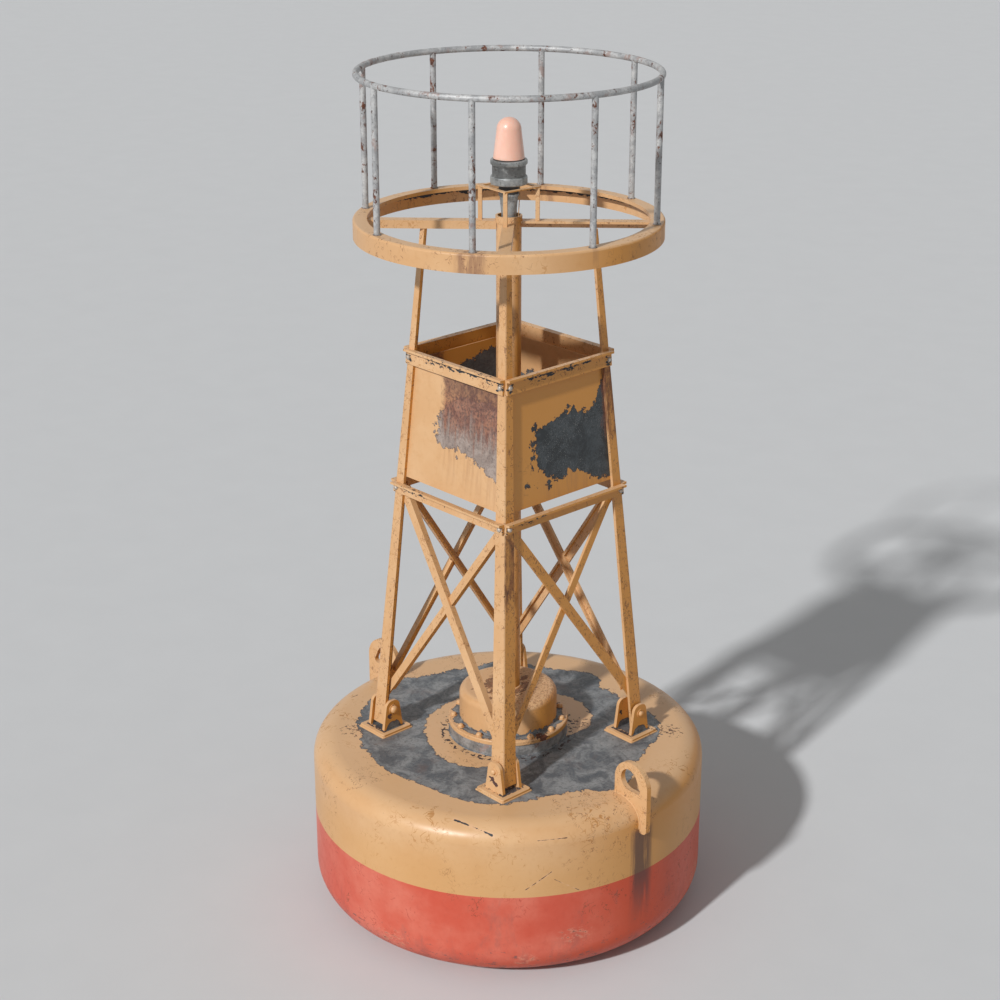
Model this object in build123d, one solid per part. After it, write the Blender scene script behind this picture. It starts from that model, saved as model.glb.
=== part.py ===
"""Steel navigation buoy: round float, bolted hatch, tapered lattice tower, platform and lantern.

Millimetres, +Z up, the flat bottom of the float on the floor and the mast on the Z axis.
The tower's four faces look along -Y, +X, +Y and -X; its legs stand on the diagonals.
A name ending in _H is a height above the part that carries it, _R a radius, _Z a height
above the floor.
"""
import os
from math import atan, cos, hypot, sin

from build123d import *

# ---- float -------------------------------------------------------------------------
FLOAT_R = 900.0
FLOAT_H = 793.0
SHOULDER_REACH = 108.0     # radially inward from the wall to the flat deck
SHOULDER_DROP = 89.0       # down from the deck to the straight wall
BILGE_REACH = 241.0
BILGE_RISE = 178.0
PAINT_LINE_H = 455.0

# ---- hatch -------------------------------------------------------------------------
COAMING_R = 270.0
COAMING_H = 57.0
FLANGE_LIP = 6.0           # the flange stands this far outside the coaming
FLANGE_THICK = 20.0
FLANGE_EDGE_R = 5.0
CAN_R = 224.0
CAN_H = 150.0
CAN_SHOULDER_R = 33.0

# ---- mast --------------------------------------------------------------------------
MAST_R = 54.0
MAST_WALL = 6.0
MAST_TOP_H = 2425.0        # above the deck
MAST_RIM_STEP = 3.0
MAST_RIM_H = 30.0

# ---- platform ----------------------------------------------------------------------
RING_R = 655.0
RING_FLANGE_WIDTH = 61.0
RING_BELOW_MAST = 5.0
RING_H = 79.0
RING_FLANGE_THICK = 16.0
RING_WEB_THICK = 12.0
RING_EDGE_R = 10.0
BEAM_WIDTH = 50.0
BEAM_H = 35.0
BEAM_THICK = 9.5
BEAM_ROOT_R = 5.0

# ---- tower legs --------------------------------------------------------------------
LEG_FOOT_GAP = 21.0        # daylight between a foot plate and the leg above it
FOOT_SPREAD = 443.1        # leg heel to the tower's middle plane, at the foot
HEAD_SPREAD = 267.0        # the same under the platform beams
LEG_FOOT_WIDTH = 76.0
LEG_HEAD_WIDTH = 33.0
LEG_THICK = 14.0
LEG_HEEL_R = 9.0
LEG_ROOT_R = 6.0

# ---- feet --------------------------------------------------------------------------
FOOT_SIDE = 171.0
FOOT_THICK = 15.0
FOOT_CORNER_R = 12.0
FOOT_RIM_R = 4.0
FOOT_HEEL_INSET = 41.0     # leg heel to the foot plate's middle, along X and along Y
EAR_BASE = 112.0
EAR_H = 140.0
EAR_CROWN = 70.0
EAR_CROWN_R = 33.0
EAR_THICK = 15.0

# ---- rails, panels and braces ------------------------------------------------------
UPPER_RAIL_TOP_H = 1838.0  # above the deck
UPPER_RAIL_DEPTH = 66.0
UPPER_RAIL_LIP = 27.0
LOWER_RAIL_TOP_H = 1225.0
LOWER_RAIL_DEPTH = 46.0
LOWER_RAIL_LIP = 30.0
RAIL_THICK = 10.0
RAIL_ROOT_R = 5.0

PANEL_FOOT_RISE = 32.0     # above the top of the lower rail
PANEL_HEAD_DROP = 51.0     # below the top of the upper rail
PANEL_THICK = 4.0
PANEL_CORNER_GAP = 2.0     # between the panels of two faces, behind the leg

OUTER_BRACE_WIDTH = 44.0   # flange that lies along the tower's face
INNER_BRACE_WIDTH = 35.0
BRACE_STAND = 28.0         # flange that stands inward
BRACE_THICK = 12.0
BRACE_ROOT_R = 4.0
BRACE_LAP = 40.0           # a brace stops this far short of the leg heel
BRACE_WEB_CUT = 74.0       # and its inward flange this far
BRACE_NOTCH_GAP = 3.0
OUTER_TOP_DROP = 61.0      # heel line of the outer brace: below the top of the lower rail
OUTER_TOP_INSET = 88.0     # and inside the leg heel
OUTER_FOOT_H = 297.0       # its lower end above the deck
OUTER_FOOT_INSET = 71.0
INNER_TOP_DROP = 72.0
INNER_TOP_INSET = 51.0
INNER_FOOT_H = 257.0
INNER_FOOT_INSET = 106.0

# ---- handrail ----------------------------------------------------------------------
TUBE_R = 13.45
HANDRAIL_INSET = 28.0      # handrail circle inside the platform's edge
HANDRAIL_H = 599.5         # middle of the tube above the platform
POST_COUNT = 8
POST_FIRST_ANGLE = -56.2

# ---- lantern stand -----------------------------------------------------------------
STAND_HALF = 96.0
STAND_H = 146.0
STAND_BAR = 17.0
STAND_THICK = 5.0
STAND_LEG_INSET = 6.0
STAND_TURN = -5.0          # the frame sits slightly askew on the beams

# ---- lantern, heights measured from the mast's open top ----------------------------
SEAT_DEPTH = 58.0
SEAT_THICK = 12.0
SPIGOT_FOOT_R = 31.5
SPIGOT_HEAD_R = 39.0
SPIGOT_H = 84.0
NECK_R = 43.0
NECK_H = 49.0
LOWER_BEAD_H = 35.0
DRUM_H = 47.0
UPPER_BEAD_H = 22.0
BEAD_R = 78.0
BEAD_EDGE_R = 6.0
DRUM_R = 70.5
GASKET_R = 66.5
GASKET_THICK = 4.0
LENS_FOOT_R = 66.0
LENS_HEAD_R = 52.0
LENS_WALL_H = 118.0
LENS_DOME_H = 51.0
DOME_FULLNESS = 0.55       # share of the dome's radius and height that its curve is drawn out to

# ---- lifting lugs ------------------------------------------------------------------
LUG_THICK = 24.0
LUG_REACH_IN = 162.0       # inward from the float's wall
LUG_REACH_OUT = 40.0
LUG_H = 177.0              # above the deck
LUG_TAIL_DROP = 137.0      # below the deck
LUG_TAIL_R = 22.0
EYE_INSET = 73.0           # eye's middle inward from the wall
EYE_H = 91.0
EYE_R = 50.0
EYE_NOSE_INSET = 20.0
EYE_NOSE_H = 59.0
EYE_NOSE_R = 16.0

CORNERS = (("se", 0), ("ne", 90), ("nw", 180), ("sw", 270))
FACES = (("s", 0), ("e", 90), ("n", 180), ("w", 270))

LUGS = (("e", -3), ("w", 183))

# Outer and inner brace of one face: side of the face that the top end is on, the two ends of
# the heel line, and how many brace thicknesses the bar sits behind the legs.
BRACES = (
    # width, top_side, top_drop, top_inset, foot_h, foot_inset, layer
    (OUTER_BRACE_WIDTH, -1, OUTER_TOP_DROP, OUTER_TOP_INSET, OUTER_FOOT_H, OUTER_FOOT_INSET, 0),
    (INNER_BRACE_WIDTH, 1, INNER_TOP_DROP, INNER_TOP_INSET, INNER_FOOT_H, INNER_FOOT_INSET, 1),
)

FLANGE_BASE_Z = FLOAT_H + COAMING_H
CAN_BASE_Z = FLANGE_BASE_Z + FLANGE_THICK
CAN_TOP_Z = CAN_BASE_Z + CAN_H
MAST_TOP_Z = FLOAT_H + MAST_TOP_H
MAST_BORE_R = MAST_R - MAST_WALL
UPPER_RAIL_TOP_Z = FLOAT_H + UPPER_RAIL_TOP_H
LOWER_RAIL_TOP_Z = FLOAT_H + LOWER_RAIL_TOP_H
RING_TOP_Z = MAST_TOP_Z - RING_BELOW_MAST
RING_WEB_IN_R = RING_R - RING_WEB_THICK
BEAM_TOP_Z = RING_TOP_Z - RING_FLANGE_THICK
BEAM_FOOT_Z = BEAM_TOP_Z - BEAM_H
LEG_FOOT_Z = FLOAT_H + FOOT_THICK + LEG_FOOT_GAP
HANDRAIL_R = RING_R - HANDRAIL_INSET
HANDRAIL_Z = RING_TOP_Z + HANDRAIL_H
NECK_BASE_Z = MAST_TOP_Z + SPIGOT_H
LANTERN_BASE_Z = NECK_BASE_Z + NECK_H
GASKET_BASE_Z = LANTERN_BASE_Z + LOWER_BEAD_H + DRUM_H + UPPER_BEAD_H
LENS_BASE_Z = GASKET_BASE_Z + GASKET_THICK
TAPER = (FOOT_SPREAD - HEAD_SPREAD) / (BEAM_FOOT_Z - LEG_FOOT_Z)
TILT = atan(TAPER)


def half_spread(z):
    """Distance from the tower's middle plane to the outside of its legs at height z."""
    return FOOT_SPREAD - TAPER * (z - LEG_FOOT_Z)


def leg_width(z):
    """Width of a leg's flanges at height z."""
    share = (z - LEG_FOOT_Z) / (BEAM_FOOT_Z - LEG_FOOT_Z)
    return LEG_FOOT_WIDTH + (LEG_HEAD_WIDTH - LEG_FOOT_WIDTH) * share


def face_plane(z):
    """Outside face of the legs on the -Y side: x along it, y up it, z outward."""
    return Plane(origin=(0, -half_spread(z), z), x_dir=(1, 0, 0), z_dir=(0, -cos(TILT), sin(TILT)))


def up_face(z, datum):
    """Distance up the leaning face from the height datum to the height z."""
    return (z - datum) / cos(TILT)


def turned(*edges):
    """Solid of revolution about Z from edges drawn as (radius, height)."""
    return revolve(Plane.XZ * make_face(Curve() + list(edges)), Axis.Z)


def turned_steps(*corners):
    """Solid of revolution about Z from the corners of its half section."""
    return turned(Polyline(*corners, close=True))


def disc(radius, base, height):
    """Upright round slug standing on the height base."""
    return Pos(0, 0, base) * Cylinder(radius, height, align=(Align.CENTER, Align.CENTER, Align.MIN))


def angle_section(base, stand, thick, root_r):
    """Angle bar's section: heel at the origin, one flange along x and one along y."""
    corners = ((0, 0), (base, 0), (base, thick), (thick, thick), (thick, stand), (0, stand))
    section = make_face(Polyline(*corners, close=True))
    root = section.vertices().sort_by_distance((thick, thick, 0))[0]
    return fillet(root, root_r)


def edge_at(shape, point):
    """Edge whose middle is nearest the point."""
    return shape.edges().sort_by(lambda e: (e @ 0.5 - Vector(*point)).length)[0]


def top_rim(shape):
    """Edges of a round piece's highest rim, widest last."""
    return shape.edges().filter_by(GeomType.CIRCLE).group_by(Axis.Z)[-1].sort_by(SortBy.RADIUS)


def float_whole():
    """Whole float, bottom flat on the floor, both edges rounded as ellipses."""
    bilge_middle = (FLOAT_R - BILGE_REACH, BILGE_RISE)
    shoulder_middle = (FLOAT_R - SHOULDER_REACH, FLOAT_H - SHOULDER_DROP)
    bilge = EllipticalCenterArc(bilge_middle, BILGE_REACH, BILGE_RISE, start_angle=-90, arc_size=90)
    shoulder = EllipticalCenterArc(
        shoulder_middle, SHOULDER_REACH, SHOULDER_DROP, start_angle=0, arc_size=90
    )
    return turned(
        Line((0, 0), (FLOAT_R - BILGE_REACH, 0)),
        bilge,
        Line((FLOAT_R, BILGE_RISE), (FLOAT_R, FLOAT_H - SHOULDER_DROP)),
        shoulder,
        Line((FLOAT_R - SHOULDER_REACH, FLOAT_H), (0, FLOAT_H)),
        Line((0, FLOAT_H), (0, 0)),
    )


def float_upper():
    """Float above its paint line."""
    return float_whole() & disc(2 * FLOAT_R, PAINT_LINE_H, FLOAT_H)


def float_lower():
    """Float below its paint line."""
    return float_whole() & disc(2 * FLOAT_R, 0, PAINT_LINE_H)


def hatch_coaming():
    """Short upstand that carries the hatch flange."""
    return disc(COAMING_R, FLOAT_H, COAMING_H)


def hatch_flange():
    """Bolted flange, its upper edge eased."""
    plate = disc(COAMING_R + FLANGE_LIP, FLANGE_BASE_Z, FLANGE_THICK)
    return fillet(top_rim(plate), FLANGE_EDGE_R)


def hatch_cover():
    """Round can with a soft shoulder that the mast rises from."""
    can = disc(CAN_R, CAN_BASE_Z, CAN_H)
    return fillet(top_rim(can), CAN_SHOULDER_R)


def mast():
    """Tube from the hatch to its thicker open rim."""
    rim_r = MAST_R + MAST_RIM_STEP
    rim_z = MAST_TOP_Z - MAST_RIM_H
    return turned_steps(
        (MAST_BORE_R, CAN_TOP_Z),
        (MAST_R, CAN_TOP_Z),
        (MAST_R, rim_z),
        (rim_r, rim_z),
        (rim_r, MAST_TOP_Z),
        (MAST_BORE_R, MAST_TOP_Z),
    )


def ear(outer_y):
    """Upright plate of a foot, round-topped, its outer side at y = outer_y."""
    base = EAR_BASE / 2
    crown = EAR_CROWN / 2
    side = make_face(Polyline((-base, 0), (base, 0), (crown, EAR_H), (-crown, EAR_H), close=True))
    side = fillet(side.vertices().group_by(Axis.Y)[-1], EAR_CROWN_R)
    foot_x = FOOT_SPREAD - FOOT_HEEL_INSET
    place = Plane(origin=(foot_x, outer_y, FLOAT_H + FOOT_THICK), x_dir=(1, 0, 0), z_dir=(0, -1, 0))
    return extrude(place * side, -EAR_THICK)


def foot():
    """Deck plate with the two ears that hold one leg, on the +X -Y diagonal."""
    middle = FOOT_SPREAD - FOOT_HEEL_INSET
    plate = Pos(middle, -middle, FLOAT_H) * Box(
        FOOT_SIDE, FOOT_SIDE, FOOT_THICK, align=(Align.CENTER, Align.CENTER, Align.MIN)
    )
    plate = fillet(plate.edges().filter_by(Axis.Z), FOOT_CORNER_R)
    plate = fillet(plate.edges().group_by(Axis.Z)[-1], FOOT_RIM_R)
    ear_top_z = FLOAT_H + FOOT_THICK + EAR_H
    outer = ear(-FOOT_SPREAD - EAR_THICK)
    inner = ear(-half_spread(ear_top_z) + leg_width(ear_top_z))
    return plate + outer + inner


def leg():
    """Folded plate angle that narrows upward, leaning in to the platform beam."""
    sections = []
    for z in (LEG_FOOT_Z, BEAM_FOOT_Z):
        d = half_spread(z)
        toe = d - leg_width(z)
        inside = d - LEG_THICK
        corners = ((d, -d), (d, -toe), (inside, -toe), (inside, -inside), (toe, -inside), (toe, -d))
        sections.append(Pos(0, 0, z) * make_face(Polyline(*corners, close=True)))
    bar = loft(sections, ruled=True)
    middle = (LEG_FOOT_Z + BEAM_FOOT_Z) / 2
    d = half_spread(middle)
    inside = d - LEG_THICK
    bar = fillet(edge_at(bar, (d, -d, middle)), LEG_HEEL_R)
    return fillet(edge_at(bar, (inside, -inside, middle)), LEG_ROOT_R)


def rail(top_z, depth, lip):
    """Angle rail across the outside of two legs, its lip standing out at the top."""
    half = half_spread(top_z)
    section = angle_section(lip, depth, RAIL_THICK, RAIL_ROOT_R)
    place = Plane(origin=(-half, 0, 0), x_dir=(0, 0, 1), z_dir=(1, 0, 0))
    return face_plane(top_z) * extrude(place * section, 2 * half)


def between_legs(foot_z, head_z, inset):
    """Outline of the leaning face between lines that run this far inside the leg heels."""
    corners = []
    for z, side in ((foot_z, -1), (foot_z, 1), (head_z, 1), (head_z, -1)):
        corners.append((side * (half_spread(z) - inset), up_face(z, foot_z)))
    return make_face(Polyline(*corners, close=True))


def panel():
    """Flat daymark plate behind the legs of one face."""
    depth = LEG_THICK + PANEL_THICK
    foot_z = LOWER_RAIL_TOP_Z + PANEL_FOOT_RISE
    outline = between_legs(foot_z, UPPER_RAIL_TOP_Z - PANEL_HEAD_DROP, depth + PANEL_CORNER_GAP)
    return face_plane(foot_z) * Pos(0, 0, -depth) * extrude(outline, PANEL_THICK)


def brace_frame(index):
    """Plane down one brace's heel line: x across its face flange, y inward, z along it."""
    width, top_side, top_drop, top_inset, foot_h, foot_inset, layer = BRACES[index]
    top_z = LOWER_RAIL_TOP_Z - top_drop
    foot_z = FLOAT_H + foot_h
    top = Vector(top_side * (half_spread(top_z) - top_inset), up_face(top_z, LEG_FOOT_Z), 0)
    low = Vector(-top_side * (half_spread(foot_z) - foot_inset), up_face(foot_z, LEG_FOOT_Z), 0)
    run = (low - top).normalized()
    back = LEG_THICK + layer * BRACE_THICK
    plane = Plane(origin=(top.X, top.Y, -back), x_dir=(run.Y, -run.X, 0), z_dir=(run.X, run.Y, 0))
    return plane, (low - top).length


def brace(index):
    """One diagonal of a face, trimmed behind the legs."""
    plane, length = brace_frame(index)
    section = angle_section(BRACES[index][0], BRACE_STAND, BRACE_THICK, BRACE_ROOT_R)
    bar = plane * Pos(0, 0, -length / 2) * extrude(section, 2 * length)
    flange_back = plane.origin.Z - BRACE_THICK
    wide = between_legs(LEG_FOOT_Z, BEAM_FOOT_Z, BRACE_LAP)
    narrow = between_legs(LEG_FOOT_Z, BEAM_FOOT_Z, BRACE_WEB_CUT)
    keep = Pos(0, 0, flange_back) * (extrude(wide, BRACE_STAND) + extrude(narrow, -BRACE_STAND))
    bar = bar & keep
    if index == 0:
        bar = bar - crossing_notch()
    return face_plane(LEG_FOOT_Z) * bar


def crossing_notch():
    """Slot that lets the inner brace pass through the outer brace's inward flange."""
    plane, length = brace_frame(1)
    width = INNER_BRACE_WIDTH + 2 * BRACE_NOTCH_GAP
    slot = Box(width, 2 * BRACE_STAND, length, align=(Align.MIN, Align.MIN, Align.MIN))
    return plane * Pos(-BRACE_NOTCH_GAP, 0, 0) * slot


def platform_ring():
    """Rolled angle: level flange on top, web down the outside, outer top edge rounded."""
    under = RING_TOP_Z - RING_FLANGE_THICK
    foot_z = RING_TOP_Z - RING_H
    flange_r = RING_R - RING_FLANGE_WIDTH
    ring = turned_steps(
        (flange_r, RING_TOP_Z),
        (RING_R, RING_TOP_Z),
        (RING_R, foot_z),
        (RING_WEB_IN_R, foot_z),
        (RING_WEB_IN_R, under),
        (flange_r, under),
    )
    return fillet(top_rim(ring)[-1], RING_EDGE_R)


def beam():
    """Angle beam on the +X -Y diagonal, from the mast out to the ring's web."""
    section = angle_section(BEAM_WIDTH, BEAM_H, BEAM_THICK, BEAM_ROOT_R)
    place = Plane(origin=(0, BEAM_WIDTH / 2, BEAM_TOP_Z), x_dir=(0, -1, 0), z_dir=(1, 0, 0))
    bar = extrude(place * section, RING_R)
    span = disc(RING_WEB_IN_R, BEAM_FOOT_Z, BEAM_H)
    hole = disc(MAST_R + MAST_RIM_STEP, BEAM_FOOT_Z, BEAM_H)
    return Rot(0, 0, -45) * (bar & (span - hole))


def handrail_ring():
    """Bent tube, closed on itself."""
    return Pos(0, 0, HANDRAIL_Z) * Torus(HANDRAIL_R, TUBE_R)


def post():
    """Upright tube on the +X side, from the platform into the underside of the handrail."""
    tube = Cylinder(TUBE_R, HANDRAIL_H, align=(Align.CENTER, Align.CENTER, Align.MIN))
    return Pos(HANDRAIL_R, 0, RING_TOP_Z) * tube - Rot(0, 0, 90) * handrail_ring()


def lantern_stand():
    """Square flat-bar frame on four strip legs that stand on the beams."""
    outer = Rectangle(2 * STAND_HALF, 2 * STAND_HALF)
    inner = Rectangle(2 * (STAND_HALF - STAND_BAR), 2 * (STAND_HALF - STAND_BAR))
    frame_z = BEAM_TOP_Z + STAND_H - STAND_THICK
    frame = Pos(0, 0, frame_z) * extrude(outer - inner, STAND_THICK)
    leg_r = hypot(STAND_HALF, STAND_HALF) - STAND_LEG_INSET - STAND_BAR / 2
    strip = Pos(leg_r, 0, BEAM_TOP_Z) * Box(
        STAND_BAR, STAND_BAR, STAND_H - STAND_THICK, align=(Align.CENTER, Align.CENTER, Align.MIN)
    )
    stand = frame + [Rot(0, 0, 45 + turn) * strip for corner, turn in CORNERS]
    return Rot(0, 0, STAND_TURN) * stand


def lantern_socket():
    """Spigot that seats in the mast, widening to the dark neck under the lantern."""
    seat_z = MAST_TOP_Z - SEAT_DEPTH
    return turned_steps(
        (0, seat_z),
        (MAST_BORE_R, seat_z),
        (MAST_BORE_R, seat_z + SEAT_THICK),
        (SPIGOT_FOOT_R, seat_z + SEAT_THICK),
        (SPIGOT_FOOT_R, MAST_TOP_Z),
        (SPIGOT_HEAD_R, NECK_BASE_Z),
        (NECK_R, NECK_BASE_Z),
        (NECK_R, LANTERN_BASE_Z),
        (0, LANTERN_BASE_Z),
    )


def lantern_body():
    """Drum between a deep lower bead and a shallow upper bead."""
    drum_z = LANTERN_BASE_Z + LOWER_BEAD_H
    body = disc(DRUM_R, drum_z, DRUM_H)
    for base, height in ((LANTERN_BASE_Z, LOWER_BEAD_H), (drum_z + DRUM_H, UPPER_BEAD_H)):
        bead = disc(BEAD_R, base, height)
        body += fillet(bead.edges().filter_by(GeomType.CIRCLE), BEAD_EDGE_R)
    return body


def lantern_gasket():
    """Flat rubber ring under the lens."""
    return disc(GASKET_R, GASKET_BASE_Z, GASKET_THICK)


def lantern_lens():
    """Slightly tapered lens with a domed crown."""
    wall_top = LENS_BASE_Z + LENS_WALL_H
    crown_z = wall_top + LENS_DOME_H
    dome = Bezier(
        (LENS_HEAD_R, wall_top),
        (LENS_HEAD_R, wall_top + LENS_DOME_H * DOME_FULLNESS),
        (LENS_HEAD_R * DOME_FULLNESS, crown_z),
        (0, crown_z),
    )
    return turned(
        Line((0, LENS_BASE_Z), (LENS_FOOT_R, LENS_BASE_Z)),
        Line((LENS_FOOT_R, LENS_BASE_Z), (LENS_HEAD_R, wall_top)),
        dome,
        Line((0, crown_z), (0, LENS_BASE_Z)),
    )


def lug_outline():
    """Side view of a lifting lug, before it is scribed to the float."""
    inner_x = FLOAT_R - LUG_REACH_IN
    outer_x = FLOAT_R + LUG_REACH_OUT
    radius = (outer_x - inner_x) / 2
    middle = (outer_x + inner_x) / 2
    cheek_z = FLOAT_H - SHOULDER_DROP
    tail_z = FLOAT_H - LUG_TAIL_DROP
    crown_z = FLOAT_H + LUG_H - radius
    cheek = Pos(inner_x, cheek_z) * Rectangle(2 * radius, crown_z - cheek_z, align=Align.MIN)
    tail = Pos(FLOAT_R, tail_z) * Rectangle(LUG_REACH_OUT, cheek_z - tail_z, align=Align.MIN)
    tip = tail.vertices().sort_by_distance((outer_x, tail_z, 0))[0]
    return Pos(middle, crown_z) * Circle(radius) + cheek + fillet(tip, LUG_TAIL_R)


def eye_outline():
    """Drop-shaped eye, its narrow end outward."""
    round_end = Pos(FLOAT_R - EYE_INSET, FLOAT_H + EYE_H) * Circle(EYE_R)
    nose = Pos(FLOAT_R - EYE_NOSE_INSET, FLOAT_H + EYE_NOSE_H) * Circle(EYE_NOSE_R)
    return make_hull(round_end.edges() + nose.edges())


def lifting_lug(turn):
    """Radial plate scribed over the float's shoulder, with its shackle eye."""
    plate = extrude(Plane.XZ * (lug_outline() - eye_outline()), LUG_THICK / 2, both=True)
    return Rot(0, 0, turn) * plate - float_whole()


def save(node, shape):
    """One STEP file per named piece."""
    shape.label = node
    export_step(shape, "parts/" + node + ".step")


def main():
    os.makedirs("parts", exist_ok=True)
    save("float_upper", float_upper())
    save("float_lower", float_lower())
    save("hatch_coaming", hatch_coaming())
    save("hatch_flange", hatch_flange())
    save("hatch_cover", hatch_cover())
    save("mast_tube", mast())

    corner_pieces = (("foot", foot()), ("leg", leg()), ("beam", beam()))
    for corner, turn in CORNERS:
        for piece, shape in corner_pieces:
            save(piece + "_" + corner, Rot(0, 0, turn) * shape)

    face_pieces = (
        ("rail_upper", rail(UPPER_RAIL_TOP_Z, UPPER_RAIL_DEPTH, UPPER_RAIL_LIP)),
        ("rail_lower", rail(LOWER_RAIL_TOP_Z, LOWER_RAIL_DEPTH, LOWER_RAIL_LIP)),
        ("panel", panel()),
        ("brace_outer", brace(0)),
        ("brace_inner", brace(1)),
    )
    for face, turn in FACES:
        for piece, shape in face_pieces:
            save(piece + "_" + face, Rot(0, 0, turn) * shape)

    save("platform_ring", platform_ring())
    save("handrail_ring", handrail_ring())
    upright = post()
    for number in range(POST_COUNT):
        turn = POST_FIRST_ANGLE + number * 360 / POST_COUNT
        save("handrail_post_" + str(number + 1), Rot(0, 0, turn) * upright)

    save("lantern_stand", lantern_stand())
    save("lantern_socket", lantern_socket())
    save("lantern_body", lantern_body())
    save("lantern_gasket", lantern_gasket())
    save("lantern_lens", lantern_lens())
    for side, turn in LUGS:
        save("lifting_lug_" + side, lifting_lug(turn))


main()
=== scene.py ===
"""Looks of a steel navigation buoy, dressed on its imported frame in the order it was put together."""
from math import cos, pi, radians, sin, sqrt

import bmesh
import bpy
from mathutils import Matrix, Vector


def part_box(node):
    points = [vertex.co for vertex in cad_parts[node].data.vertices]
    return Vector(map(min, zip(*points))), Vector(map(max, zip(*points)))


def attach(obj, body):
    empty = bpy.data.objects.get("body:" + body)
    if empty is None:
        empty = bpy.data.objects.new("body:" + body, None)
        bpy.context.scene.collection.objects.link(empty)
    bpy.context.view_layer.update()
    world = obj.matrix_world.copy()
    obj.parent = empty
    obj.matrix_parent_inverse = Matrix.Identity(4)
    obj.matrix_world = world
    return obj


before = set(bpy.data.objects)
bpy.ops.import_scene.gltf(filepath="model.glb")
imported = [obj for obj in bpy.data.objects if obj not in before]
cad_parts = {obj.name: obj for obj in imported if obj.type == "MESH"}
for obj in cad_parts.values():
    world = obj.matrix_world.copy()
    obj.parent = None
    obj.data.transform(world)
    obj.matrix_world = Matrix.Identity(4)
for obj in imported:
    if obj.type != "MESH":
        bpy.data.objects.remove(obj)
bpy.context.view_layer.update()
bpy.ops.object.select_all(action="DESELECT")

# Camera --------------------------------------------------------------------------
# Stands off the buoy's south-east corner, higher than its lantern, and looks down on it
# through a long lens.
CAMERA_PLACE = (5.9706, -5.5872, 5.157)
CAMERA_DIP = 21.52
CAMERA_HEADING = 47.16
LENS = 71.42
SENSOR_WIDTH = 36

bpy.ops.object.camera_add(location=CAMERA_PLACE)
camera = bpy.context.object
camera.name = "camera"
camera.rotation_euler = (radians(90 - CAMERA_DIP), 0, radians(CAMERA_HEADING))
camera.data.lens = LENS
camera.data.sensor_width = SENSOR_WIDTH
bpy.context.scene.camera = camera
bpy.context.scene.view_settings.view_transform = "Standard"

# Float ---------------------------------------------------------------------------
# A closed drum of rolled and welded plate with wide rounded edges. The upper part has
# yellow topcoat, worn off the deck by boots and shackles; below the paint line it is red.
FLOAT_R = 0.900
SHOULDER_REACH = 0.108
SHOULDER_DROP = 0.089
COAMING_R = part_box("hatch_coaming")[1].x
DECK_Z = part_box("float_upper")[1].z

# The tones of a finish come in threes: plain, pale and dark.
YELLOW_DARK = (0.44, 0.20, 0.055)
YELLOW = ((0.635, 0.366, 0.172), (0.69, 0.430, 0.225), YELLOW_DARK)
RED = ((0.58, 0.085, 0.045), (0.66, 0.17, 0.11), (0.40, 0.050, 0.03))
STEEL_DARK = (0.026, 0.029, 0.034)
STEEL = ((0.092, 0.101, 0.112), (0.265, 0.272, 0.275), STEEL_DARK)
GRIT = (0.33, 0.325, 0.31)
RUST = (0.16, 0.050, 0.022)
RUST_DARK = (0.045, 0.018, 0.014)
# Painted shade: paint on sides turned away from the key lamp, which SUNWARD points to, is coloured deeper,
# this share of the plain tone.
SUNWARD = (0.12, -0.80, 0.59)
PAINTED_SHADE_SHARE = (0.97, 0.73, 0.27)


def new_finish(name):
    """Empty surface finish, ready for its nodes."""
    finish = bpy.data.materials.new(name)
    finish.use_nodes = True
    return finish


def put(finish, kind, inputs=None, **settings):
    """One shader node; an input is a plain value or another node's output."""
    node = finish.node_tree.nodes.new("ShaderNode" + kind)
    for setting, value in settings.items():
        setattr(node, setting, value)
    for socket, value in (inputs or {}).items():
        if isinstance(value, bpy.types.NodeSocket):
            finish.node_tree.links.new(value, node.inputs[socket])
        else:
            if isinstance(value, tuple) and len(value) == 3 and len(node.inputs[socket].default_value) == 4:
                value = value + (1.0,)
            node.inputs[socket].default_value = value
    return node


def sum_up(finish, operation, first, second=0.0, third=0.0, clamp=False):
    """Result of one arithmetic step."""
    node = put(finish, "Math", {0: first, 1: second, 2: third}, operation=operation, use_clamp=clamp)
    return node.outputs[0]


def less(finish, first, second):
    """What is left of the first when the second is taken away."""
    return sum_up(finish, "SUBTRACT", first, second)


def gap(finish, first, second):
    """How far two values lie apart, whichever is larger."""
    return sum_up(finish, "ABSOLUTE", less(finish, first, second))


def both(finish, first, second):
    """Where two masks overlap; with a number, the mask at that strength."""
    return sum_up(finish, "MULTIPLY", first, second)


def swell(finish, pattern, amount, base):
    """A base value raised by so much of a pattern."""
    return sum_up(finish, "MULTIPLY_ADD", pattern, amount, base)


def slant(finish, first, second):
    """Straight distance made of two distances that are square to each other."""
    return sum_up(finish, "SQRT", swell(finish, first, first, both(finish, second, second)))


def step_between(finish, value, low, high):
    """0 below low, 1 above high, smooth between; high may lie below low."""
    inputs = {"Value": value, "From Min": low, "From Max": high}
    return put(finish, "MapRange", inputs, interpolation_type="SMOOTHSTEP").outputs[0]


def tint(finish, share, first, second):
    """Colour between two colours."""
    return put(finish, "Mix", {0: share, 6: first, 7: second}, data_type="RGBA").outputs[2]


def place_on(finish):
    """Point of the surface in metres, in the buoy's own frame."""
    return put(finish, "TexCoord").outputs["Object"]


def facing(finish):
    """Direction that the surface looks in."""
    return put(finish, "TexCoord").outputs["Normal"]


def in_sun(finish):
    """How squarely the surface faces the key lamp, which stands for the sun, 1 at most."""
    inputs = {0: facing(finish), 1: SUNWARD}
    return put(finish, "VectorMath", inputs, operation="DOT_PRODUCT").outputs["Value"]


def axes(finish, point):
    """The x, y and z of a point."""
    return put(finish, "SeparateXYZ", {"Vector": point}).outputs


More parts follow.
